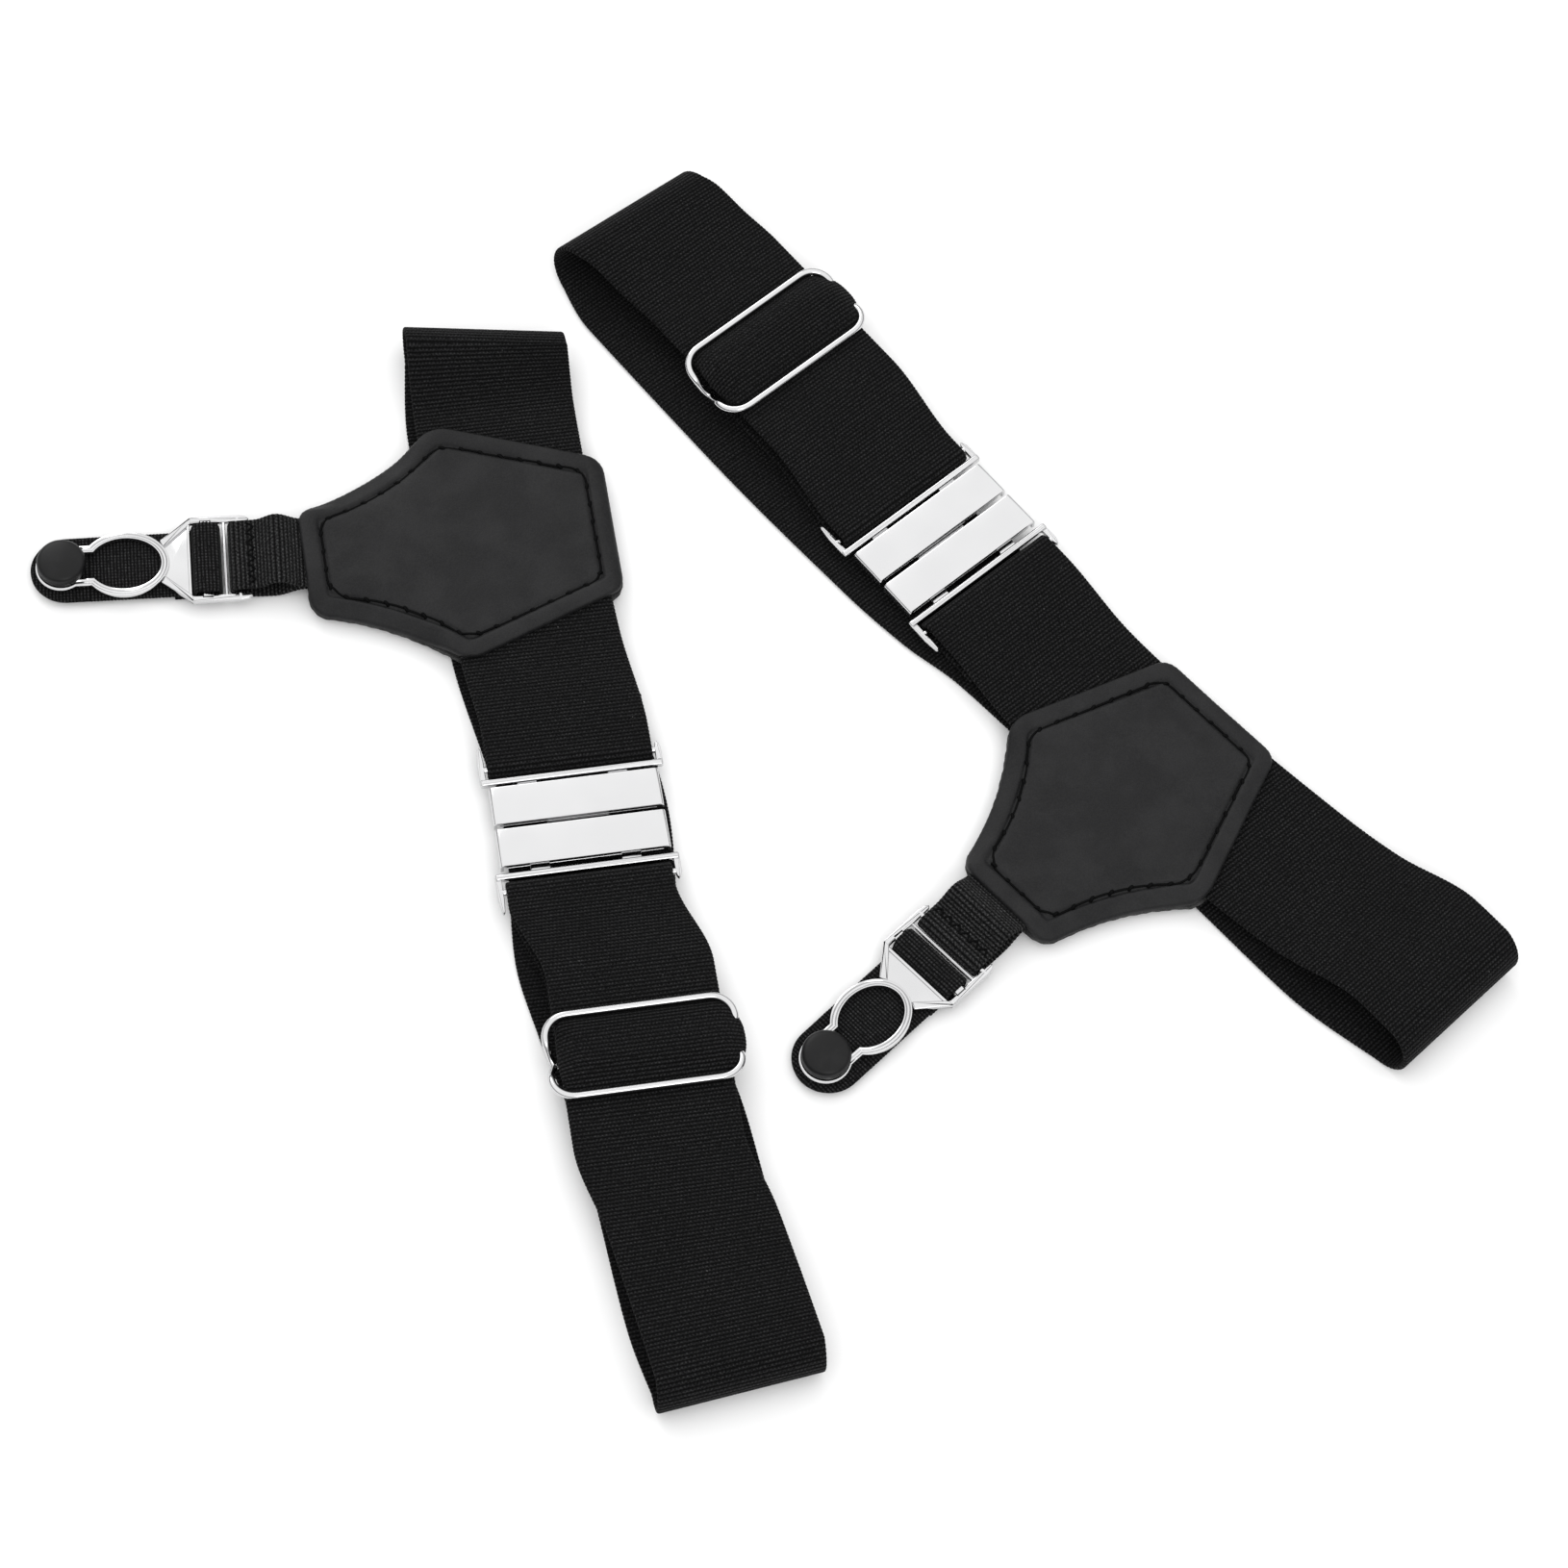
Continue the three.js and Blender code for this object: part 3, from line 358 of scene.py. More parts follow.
@dataclass(frozen=True)
class Nickel:
    """Nickel plate, from mirror bright to satin."""

    name: str
    rough: float = 0.1
    base: Tint = (0.65, 0.65, 0.655)
    brushed: float = 0.0
    clouding: float = 1.0

    def make(self) -> bpy.types.Material:
        """Build the plate: faint clouding, hairline scratches and slightly uneven polish.

        Returns:
            The material.
        """
        g = Graph(self.name)
        where = g.place()
        cloud = g.noise(where, 9.0, 1.0)
        fine = g.noise(where, 0.12, 6.0)
        tint = tuple((1 - 0.08 * self.clouding) * c for c in self.base)
        relief = cloud * (0.5 * self.clouding) + fine * (0.05 + self.brushed)
        g.feed(
            Base_Color=g.blend(cloud.step(0.3, 0.75), tint, self.base),
            Metallic=1.0,
            Roughness=cloud * 0.06 + fine * (0.04 + self.brushed) + self.rough - 0.04,
            Normal=g.bump(relief, 0.03, 0.4),
        )
        return g.material


@dataclass(frozen=True)
class Rubber:
    """Moulded black rubber with a dusty, slightly uneven skin."""

    name: str = "button_rubber"
    clean: Tint = (0.003, 0.003, 0.0033)
    dusty: Tint = (0.007, 0.007, 0.0075)

    def make(self) -> bpy.types.Material:
        """Build the rubber: fine pitting and a few broad smudges.

        Returns:
            The material.
        """
        g = Graph(self.name)
        where = g.place()
        pit = g.noise(where, 0.3, 5.0)
        smudge = g.noise(where, 3.0)
        g.feed(
            Base_Color=g.blend(smudge.step(0.4, 0.8), self.clean, self.dusty),
            Roughness=smudge * 0.15 + 0.33,
            Normal=g.bump(pit, 0.02),
            Specular_IOR_Level=0.24,
        )
        return g.material


@dataclass(frozen=True)
class Thread:
    """Twisted waxed thread."""

    name: str = "black_thread"
    # painted shade in the twist's hollows and painted light on its crests
    twist_shade: Tint = (0.0002, 0.0002, 0.0002)
    twist_light: Tint = (0.003, 0.003, 0.0033)

    def make(self) -> bpy.types.Material:
        """Build the thread: a fine uneven twist, painted darker in its hollows and lighter on its
        crests as shade and light.

        Returns:
            The material.
        """
        g = Graph(self.name)
        twist = g.noise(g.place(), 0.18, 2.0)
        g.feed(
            Base_Color=g.blend(twist, self.twist_shade, self.twist_light),
            Roughness=twist * 0.2 + 0.5,
            Normal=g.bump(twist, 0.05),
            Specular_IOR_Level=0.06,
        )
        return g.material


class Finishes:
    """One material of each finish, shared by both garters."""

    def __init__(self) -> None:
        """Make them all."""
        # each webbing's pale tint is painted light on the crests of its ribs and yarn, and its dark
        # tint is painted shade in the hollows
        self.band = Webbing("band_elastic", rib=0.79, column=0.72).make()
        self.strap = Webbing(
            "clip_strap_elastic",
            rib=0.82,
            column=0.8,
            rib_share=0.5,
            depth=0.34,
            lint=0.1,
            crest_light=(0.085, 0.085, 0.086),
        ).make()
        self.ribbon = Webbing(
            "tongue_ribbon_weave",
            rib=0.66,
            column=0.66,
            rib_share=0.5,
            depth=0.14,
            crest_light=(0.05, 0.05, 0.051),
            lint=0.05,
            shift=0.0,
        ).make()
        # each leather's paler tint is painted light on its raised grain, with broad random patches
        self.leather = Leather(
            "patch_leather", base=(0.0055, 0.0055, 0.006), grain_lit_and_pale=(0.021, 0.021, 0.0216)
        ).make()
        self.flesh = Leather(
            "patch_leather_back",
            base=(0.008, 0.008, 0.008),
            grain_lit_and_pale=(0.1, 0.1, 0.1),
            grain=0.3,
            depth=0.2,
            rough=0.85,
            shine=0.1,
        ).make()
        self.bright = Nickel("bright_nickel").make()
        self.cover = Nickel("cover_nickel", rough=0.17, clouding=0.35).make()
        self.satin = Nickel("satin_nickel", rough=0.3, brushed=0.2).make()
        self.rubber = Rubber().make()
        self.thread = Thread().make()


# ------------------------------------------------------------------ places


@dataclass(frozen=True)
class Place:
    """A frame in which a piece is worked out: an origin in metres, and two unit directions."""

    origin: Array
    x: Array
    y: Array

    def to_world(self, points: Array) -> Array:
        """Points from this frame, in millimetres, in metres."""
        basis = np.stack([self.x, self.y, np.array([0.0, 0.0, 1.0])])
        return self.origin + points @ basis / MM

    def to_plan(self, world: Array) -> Array:
        """Points in metres, as millimetres along this frame's two directions."""
        return (world - self.origin) @ np.stack([self.x, self.y]).T * MM

    def turned(self, degrees: float, shift: Sequence[float]) -> "Place":
        """A frame turned in plan by an angle.

        Args:
            degrees: the angle.
            shift: the new frame's origin, as [x, y] in this one.

        Returns:
            The turned frame.
        """
        c, s = math.cos(math.radians(degrees)), math.sin(math.radians(degrees))
        origin = self.to_world(np.array([[shift[0], shift[1], 0.0]]))[0]
        return Place(origin, c * self.x + s * self.y, c * self.y - s * self.x)

    @property
    def is_mirrored(self) -> bool:
        """Whether the frame is left-handed, so that faces have to be turned over."""
        return bool(np.cross(self.x, self.y)[2] < 0)


def joint(name: str) -> dict:
    """The record's joint of that name."""
    return next(j for j in frame["joints"] if j["name"] == name)


# ------------------------------------------------------------------ surfaces


def grid_faces(rows: int, columns: int, close_rows: bool, close_columns: bool) -> Array:
    """Quads of a grid of points numbered row by row.

    Args:
        rows: how many rows of points there are.
        columns: how many points each row has.
        close_rows: whether the last row joins the first.
        close_columns: whether each row's last point joins its first.

    Returns:
        Four point numbers for each quad.
    """
    r = np.arange(rows if close_rows else rows - 1)
    c = np.arange(columns if close_columns else columns - 1)
    r, c = np.meshgrid(r, c, indexing="ij")
    r1, c1 = (r + 1) % rows, (c + 1) % columns
    corners = [r * columns + c, r * columns + c1, r1 * columns + c1, r1 * columns + c]
    return np.stack(corners, axis=-1).reshape(-1, 4)


def make_piece(
    name: str,
    shape: Shape,
    place: Place,
    material: bpy.types.Material,
    cloth: Array | None = None,
    sharp: float = 50.0,
) -> bpy.types.Object:
    """Make a mesh object at the origin from points in a place's frame.

    Args:
        name: the piece's name.
        shape: its points in millimetres, and its faces, facing out in a right-handed frame.
        place: the frame that the points are in.
        material: its finish.
        cloth: for cloth, each point's millimetres across and along it.
        sharp: the angle in degrees past which an edge is drawn sharp.

    Returns:
        The object.
    """
    points, faces = shape
    mesh = bpy.data.meshes.new(name)
    faces = [list(map(int, face)) for face in faces]
    if place.is_mirrored:
        faces = [face[::-1] for face in faces]
    mesh.from_pydata(place.to_world(np.asarray(points, float)).tolist(), [], faces)
    if cloth is not None:
        layer = mesh.uv_layers.new(name=CLOTH_MAP)
        corner = np.empty(len(mesh.loops), np.int64)
        mesh.loops.foreach_get("vertex_index", corner)
        layer.data.foreach_set("uv", np.asarray(cloth, np.float32)[corner].ravel())
    mesh.polygons.foreach_set("use_smooth", np.ones(len(mesh.polygons), bool))
    mesh.set_sharp_from_angle(angle=math.radians(sharp))
    mesh.materials.append(material)
    piece = bpy.data.objects.new(name, mesh)
    bpy.context.scene.collection.objects.link(piece)
    return piece


def recalculate(piece: bpy.types.Object) -> None:
    """Turn every face of a closed mesh to point out, after its doubles are merged.

    Args:
        piece: the mesh object.
    """
    work = bmesh.new()
    work.from_mesh(piece.data)
    bmesh.ops.remove_doubles(work, verts=work.verts, dist=1e-7)
    bmesh.ops.recalc_face_normals(work, faces=work.faces)
    work.to_mesh(piece.data)
    work.free()


def stand_for(piece: bpy.types.Object, slot: Slot, nodes: Sequence[str]) -> None:
    """Let a piece stand for CAD nodes, which are hidden, and log its face count.

    Args:
        piece: the finished piece.
        slot: the record's slot for its material; not used.
        nodes: the CAD nodes it replaces, if any.
    """
    if nodes:
        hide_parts(*nodes)
    log.info("%s: %d faces", piece.name, len(piece.data.polygons))


def ride(piece: bpy.types.Object, body: str, slot: Slot, *nodes: str) -> None:
    """Finish a piece that moves with one body."""
    stand_for(piece, slot, nodes)
    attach(piece, body)


def stretch(
    piece: bpy.types.Object, place: Place, bodies: Sequence[str], ends: Array, slot: Slot, *nodes: str
) -> None:
    """Finish a piece of cloth that runs from one body to another, with its transform baked into its
    mesh.

    Args:
        piece: the finished piece.
        place: the frame that the two ends are in.
        bodies: the body at the start and the body at the end; not used.
        ends: two points along it, as two rows in millimetres; they are turned into metres and not
            used further.
        slot: the record's slot for its material.
        nodes: the CAD nodes it replaces.
    """
    stand_for(piece, slot, nodes)
    start, end = place.to_world(ends)
    tuple(start)
    tuple(end)
    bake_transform(piece)


def unit(vectors: Array) -> Array:
    """Vectors shortened or stretched to a length of 1."""
    return vectors / np.linalg.norm(vectors, axis=-1, keepdims=True)


def travelled(points: Array) -> Array:
    """The length of a route up to each of its points."""
    gaps = np.linalg.norm(np.diff(points, axis=0), axis=1)
    return np.concatenate([[0.0], np.cumsum(gaps)])


@dataclass(frozen=True)
class Weave:
    """A strap's section, and how its ribs stand out of it."""

    width: float
    thickness: float
    rib: float = 0.0
    relief: float = 0.0
    edge_wobble: float = 0.0
    columns: int = 8
    round_steps: int = 5

    def section(self) -> Array:
        """The strap's section: two flat faces joined by half circles of half its thickness.

        Returns:
            Points as [sideways, outwards], in order round the section.
        """
        r = self.thickness / 2
        flat = np.linspace(-self.width / 2 + r, self.width / 2 - r, self.columns)
        arc = np.linspace(-math.pi / 2, math.pi / 2, self.round_steps + 2)[1:-1]
        right = np.stack([self.width / 2 - r + r * np.cos(arc), r * np.sin(arc)], axis=1)
        top = np.stack([flat[::-1], np.full(self.columns, r)], axis=1)
        left = np.stack([-self.width / 2 + r - r * np.cos(arc), -r * np.sin(arc)], axis=1)
        bottom = np.stack([flat, np.full(self.columns, -r)], axis=1)
        return np.concatenate([bottom, right, top, left])

    def ribs(self, along: Array) -> Array:
        """The ribs at places along the strap, from -0.5 between two ribs to 0.5 on one.

        Each rib is the upper half of a sine raised to a power below one, which makes it round.

        Args:
            along: the millimetres along the strap.

        Returns:
            One number for each place.
        """
        if self.rib == 0:
            return np.zeros_like(along)
        return np.abs(np.sin(math.pi * along / self.rib)) ** 0.7 - 0.5


def resample(route: Array, step: float, soften: float = 0.0) -> Array:
    """Points at even steps along a route, with its corners softened.

    The route is cut at even arc lengths, and each coordinate is then averaged with a bell-shaped
    weight whose spread is the softening length. The two ends stay where they are.

    Args:
        route: the points, as [x, y, z] rows that may carry more columns.
        step: the length between two new points.
        soften: the softening length.

    Returns:
        The new rows.
    """
    length = travelled(route[:, :3])
    count = max(3, int(length[-1] / step) + 1)
    even = np.linspace(0, length[-1], count)
    out = np.stack([np.interp(even, length, column) for column in route.T], axis=1)
    if soften > 0:
        reach = int(3 * soften / step) + 1
        weight = np.exp(-0.5 * (np.arange(-reach, reach + 1) * step / soften) ** 2)
        weight /= weight.sum()
        before = 2 * out[0] - out[reach:0:-1]
        after = 2 * out[-1] - out[-2 : -reach - 2 : -1]
        padded = np.concatenate([before, out, after])
        out = np.stack([np.convolve(column, weight, "valid") for column in padded.T], axis=1)
    return out


def with_caps(faces: Array, rows: int, columns: int) -> list[list[int]]:
    """Quads of a swept grid, with a face closing each end.

    Args:
        faces: the quads.
        rows: how many rows of points the grid has.
        columns: how many points each row has.

    Returns:
        All the faces.
    """
    first = list(range(columns))
    last = [(rows - 1) * columns + i for i in range(columns)]
    return [*faces.tolist(), first, last[::-1]]


def sweep_strap(
    route: Array,
    skew: Array,
    weave: Weave,
    crown: Callable[[Array, Array], Array] | None = None,
    widen: Array | None = None,
) -> tuple[Shape, Array]:
    """Carry a strap's section along a route.

    At each step the section stands square to the route. Its thickness swells by the rib's height at
    every rib, as a rounded wave along the strap, and its edges step in and out with the ribs.

    Args:
        route: the middle line, as [x, y, z] rows.
        skew: the angle in plan of the width at each row, in radians.
        weave: the section and its ribs.
        crown: a lift for points from their place along and across, for a bowed strap.
        widen: the width's share at each row.

    Returns:
        The closed shape, and each point's millimetres across and along.
    """
    tangent = unit(np.gradient(route, axis=0))
    side = np.stack([-np.sin(skew), np.cos(skew), np.zeros_like(skew)], axis=1)
    out = unit(np.cross(tangent, side))
    along = travelled(route)
    section = weave.section()
    wave = weave.ribs(along)[:, None]
    share = np.ones_like(along) if widen is None else widen
    sideways = section[None, :, 0] * share[:, None]
    sideways = sideways + np.sign(section[None, :, 0]) * weave.edge_wobble * wave
    height = section[None, :, 1] * (1 + 2 * weave.relief * wave / weave.thickness)
    places = np.broadcast_to(along[:, None], sideways.shape)
    if crown is not None:
        height = height + crown(places, sideways)
    points = route[:, None] + sideways[..., None] * side[:, None] + height[..., None] * out[:, None]
    cloth = np.stack([sideways, places], axis=-1).reshape(-1, 2)
    rows, columns = sideways.shape
    faces = with_caps(grid_faces(rows, columns, False, True)[:, ::-1], rows, columns)
    return (points.reshape(-1, 3), faces), cloth


def sweep_rod(route: Array, radius: float, sides: int = 20) -> Shape:
    """Carry a circle along a route without twist.

    The circle's first direction starts square to the route, and at each step it is turned the least
    that keeps it square to the route.

    Args:
        route: the middle line, as [x, y, z] rows.
        radius: the circle's radius.
        sides: how many points the circle has.

    Returns:
        The rod, with flat ends.
    """
    tangent = unit(np.gradient(route, axis=0))
    normal = np.empty_like(tangent)
    start = np.cross(tangent[0], [0.0, 0.0, 1.0])
    upright = np.linalg.norm(start) <= 1e-3
    normal[0] = unit(np.cross(tangent[0], [0.0, 1.0, 0.0]) if upright else start)
    for i in range(1, len(route)):
        square = normal[i - 1] - tangent[i] * np.dot(normal[i - 1], tangent[i])
        normal[i] = square / np.linalg.norm(square)
    other = np.cross(tangent, normal)
    turn = np.linspace(0, 2 * math.pi, sides, endpoint=False)[None, :, None]
    ring = np.cos(turn) * normal[:, None] + np.sin(turn) * other[:, None]
    points = route[:, None, :] + radius * ring
    faces = grid_faces(len(route), sides, False, True)[:, ::-1]
    return points.reshape(-1, 3), with_caps(faces, len(route), sides)


def join_parts(parts: Sequence[Shape]) -> Shape:
    """Put several closed shapes into one.

    Args:
        parts: the shapes.

    Returns:
        One set of points and faces.
    """
    points, faces, count = [], [], 0
    for part_points, part_faces in parts:
        points.append(part_points)
        faces += [[int(i) + count for i in face] for face in part_faces]
        count += len(part_points)
    return np.concatenate(points), faces


def stack_rings(rings: Sequence[Array]) -> Shape:
    """A closed shape from rings of equal length, anticlockwise and each above the one before.

    Args:
        rings: the rings, as [x, y, z] rows.

    Returns:
        The shape.
    """
    columns = len(rings[0])
    quads = grid_faces(len(rings), columns, False, True).tolist()
    top = [(len(rings) - 1) * columns + i for i in range(columns)]
    return np.concatenate(rings), [*quads, list(range(columns))[::-1], top]


def soft_block(outline: Array, low: float, high: float, edge: float, steps: int = 3) -> Shape:
    """A plate of an outline whose upper and lower edges are rounded.

    The wall is a stack of copies of the outline. Near each face a copy is drawn in by the edge radius
    times one minus the cosine of an angle, and its height goes by the sine, which rounds the edge.

    Args:
        outline: its corners as [x, y], anticlockwise.
        low: the height of its lower face.
        high: the height of its upper face.
        edge: the radius of its edges.
        steps: how many steps round an edge has.

    Returns:
        The plate.
    """
    ahead = unit(np.roll(outline, -1, axis=0) - outline)
    behind = np.roll(ahead, 1, axis=0)
    normal = np.stack([ahead[:, 1] + behind[:, 1], -ahead[:, 0] - behind[:, 0]], axis=1)
    dot = 1 + np.sum(ahead * behind, axis=1, keepdims=True)
    outward = normal / np.maximum(dot, 0.35)
    angle = np.linspace(0, math.pi / 2, steps + 1)
    inset = edge * (1 - np.cos(angle))
    rise = edge * (1 - np.sin(angle))
    levels = [(i, low + z) for i, z in zip(inset[::-1], rise[::-1])]
    levels += [(i, high - z) for i, z in zip(inset, rise)]
    flat = [(outline - outward * i, z) for i, z in levels]
    return stack_rings([np.column_stack([ring, np.full(len(ring), z)]) for ring, z in flat])


def rounded(corners: Sequence[Sequence[float]], radius: float | Sequence[float]) -> Array:
    """A polygon with its corners rounded by quadratic curves.

    Args:
        corners: the corners as [x, y].
        radius: how far from each corner its curve starts and ends.

    Returns:
        The curves' points.
    """
    points = np.asarray(corners, float)
    radii = np.broadcast_to(np.asarray(radius, float), (len(points),))
    before = points + unit(np.roll(points, 1, axis=0) - points) * radii[:, None]
    after = points + unit(np.roll(points, -1, axis=0) - points) * radii[:, None]
    u = np.linspace(0, 1, 6)[None, :, None]
    curve = (1 - u) ** 2 * before[:, None] + 2 * u * (1 - u) * points[:, None] + u**2 * after[:, None]
    return curve.reshape(-1, 2)


def rectangle(
    left: float, right: float, near: float, far: float, radius: float | Sequence[float]
) -> Array:
    """A rectangle with rounded corners, anticlockwise from its near left corner."""
    return rounded([(left, near), (right, near), (right, far), (left, far)], radius)


def mirrored(corners: Sequence[Sequence[float]], radius: float, flip: tuple[int, int]) -> Array:
    """A rounded polygon multiplied by a flip, in anticlockwise order.

    Args:
        corners: the corners as [x, y].
        radius: how far from each corner its curve starts and ends.
        flip: 1 or -1 for x and for y.

    Returns:
        The outline.
    """
    outline = rounded(np.array(corners) * flip, radius)
    x, y = outline.T
    area = np.sum(x * np.roll(y, -1) - y * np.roll(x, -1))
    return outline if area > 0 else outline[::-1]


def half_turn(
    place: float, z: float, reach: float, radius: float, upward: bool, count: int
) -> Array:
    """Rows on a half turn round a line across a strap.

    Args:
        place: where the line is along the strap.
        z: the line's height.
        reach: how far the turn swings past the line.
        radius: how far above and below the line it starts and ends.
        upward: whether it goes up.
        count: how many rows.

    Returns:
        Rows of [along, share of the turn, height].
    """
    share = np.linspace(0, 1, count)
    angle = math.pi * share
    height = (-1 if upward else 1) * radius * np.cos(angle)
    return np.stack([place + reach * np.sin(angle), share, z + height], axis=1)


def through(points: Sequence[Sequence[float]]) -> Callable[[Array], Array]:
    """A smooth curve through [x, y] points that never swings past them.

    Each span is a cubic whose end slopes are the harmonic means of the spans' rises, or flat where
    the rise changes sign.

    Args:
        points: the points, in order of x.

    Returns:
        A function from x to y.
    """
    knots = np.asarray(points, float)
    rise = np.diff(knots[:, 1]) / np.diff(knots[:, 0])
    before = np.concatenate([[rise[0]], rise])
    after = np.concatenate([rise, [rise[-1]]])
    both = before * after
    slope = np.where(both <= 0, 0.0, 2 * both / np.where(both <= 0, 1.0, before + after))

    def curve(x: Array) -> Array:
        """The curve's height.

        Args:
            x: the places.

        Returns:
            One height for each place.
        """
        x = np.asarray(x, float)
        i = np.clip(np.searchsorted(knots[:, 0], x) - 1, 0, len(rise) - 1)
        span = knots[i + 1, 0] - knots[i, 0]
        u = np.clip((x - knots[i, 0]) / span, 0, 1)
        ease = u * u * (3 - 2 * u)
        ends = u * (1 - u) ** 2 * slope[i] * span - u * u * (1 - u) * slope[i + 1] * span
        return knots[i, 1] + ease * (knots[i + 1, 1] - knots[i, 1]) + ends

    return curve


# ------------------------------------------------------------------ how a garter lies


@dataclass(frozen=True)
class Lay:
    """How one garter lies: its name, and where things are along its band."""

    side: str
    mirror: int
    patch_shift: float
    patch_turn: float
    band_shift: float
    band_turn: float
    patch_end: float
    patch_end_skew: float
    slider_end: float
    slider_end_skew: float
    slider_place: float
    top_drift: tuple[tuple[float, float], ...]
    bottom_drift: tuple[tuple[float, float], ...]
    receiver_bar: float = 51.0
    hook_bar: float = 77.0
    bar_z: float = 3.55
    clip_z: float = 3.0
    patch_pivot: float = 14.0

    @property
    def slider_drift(self) -> float:
        """How far the slider sits sideways of the clasp's middle line."""
        return float(through(self.top_drift)(self.slider_place))

    def name(self, word: str) -> str:
        """A piece's or node's name on this side."""
        return f"{self.side}_{word}"

    @property
    def band(self) -> Place:
        """The band's frame, from the clasp's and the slider's joints.

        Returns:
            The frame: S along the band, T towards the sock clip.
        """
        along = np.array(joint(self.name("slider_slide"))["axis"], float)
        across = self.mirror * np.cross([0.0, 0.0, 1.0], along)
        bar = np.array(joint(self.name("receiver_fold"))["pos_m"], float)
        origin = bar - along * self.receiver_bar / MM
        return Place(np.array([origin[0], origin[1], 0.0]), along, across)

    @property
    def garter(self) -> Place:
        """The whole garter's frame, which the band is turned in."""
        turned = self.band.turned(-self.band_turn, (0.0, 0.0))
        return Place(turned.origin - turned.y * self.band_shift / MM, turned.x, turned.y)

    @property
    def patch(self) -> Place:
        """The patch's frame, turned about its widest line.

        Returns:
            The frame: X along the band, Y towards the sock clip.
        """
        angle = math.radians(self.patch_turn)
        shift_x = self.patch_shift + self.patch_pivot * math.sin(angle)
        shift_y = self.patch_pivot * (1 - math.cos(angle))
        return self.garter.turned(self.patch_turn, (shift_x, shift_y))

    @property
    def clip(self) -> Place:
        """The clip's frame, from its joints.

        Returns:
            The frame: X across the clip, Y from its rear bar towards the button.
        """
        out = -np.array(joint(self.name("tongue_slide"))["axis"], float)
        origin = np.array(joint(self.name("clip_swing"))["pos_m"], float)
        across = self.mirror * np.cross(out, [0.0, 0.0, 1.0])
        return Place(np.array([origin[0], origin[1], 0.0]), across, out)

LAYS = (
    Lay(
        side="left",
        mirror=-1,
        patch_shift=0.75,
        patch_turn=3.1,
        band_shift=-1.55,
        band_turn=3.3,
        patch_end=-44.2,
        patch_end_skew=9.5,
        slider_end=181.5,
        slider_end_skew=-6.5,
        slider_place=113.5,
        top_drift=(
            (-43, 3.2), (-26, 3.6), (0, 3.2), (24, 2.2), (47, 0), (79.5, 0), (97.5, -4.6),
            (131.5, -4.6), (148, -8.1), (160, -10), (182, -13.2),
        ),
        bottom_drift=(
            (-43, 3.2), (-25, 5.2), (0, 4.4), (24, 3.4), (64, -1.6), (90, 0.2), (106, -2),
            (125, -6), (140, -7.5), (165, -9.6), (182, -13.2),
        ),
    ),
    Lay(
        side="right",
        mirror=1,
        patch_shift=-0.2,
        patch_turn=4.2,
        band_shift=-0.12,
        band_turn=0.3,
        patch_end=-74,
        patch_end_skew=3.5,
        slider_end=161,
        slider_end_skew=-3.5,
        slider_place=118,
        top_drift=(
            (-73, -9.9), (-60, -10.3), (-43, -6.4), (-28, -4.2), (0, -0.8), (26, 0.9), (47, 0),
            (79.5, 0), (100, -2), (136, -2), (146, -0.9), (153, -0.2), (161, 3.1),
        ),
        bottom_drift=(
            (-73, -8.5), (-49, -3.5), (-25, -2.3), (26, 0.5), (40, 1.6), (53, 4.2), (68, 5.7),
            (108, 7), (146, 6.7), (161, 3.1),
        ),
    ),
)


# ------------------------------------------------------------------ the band


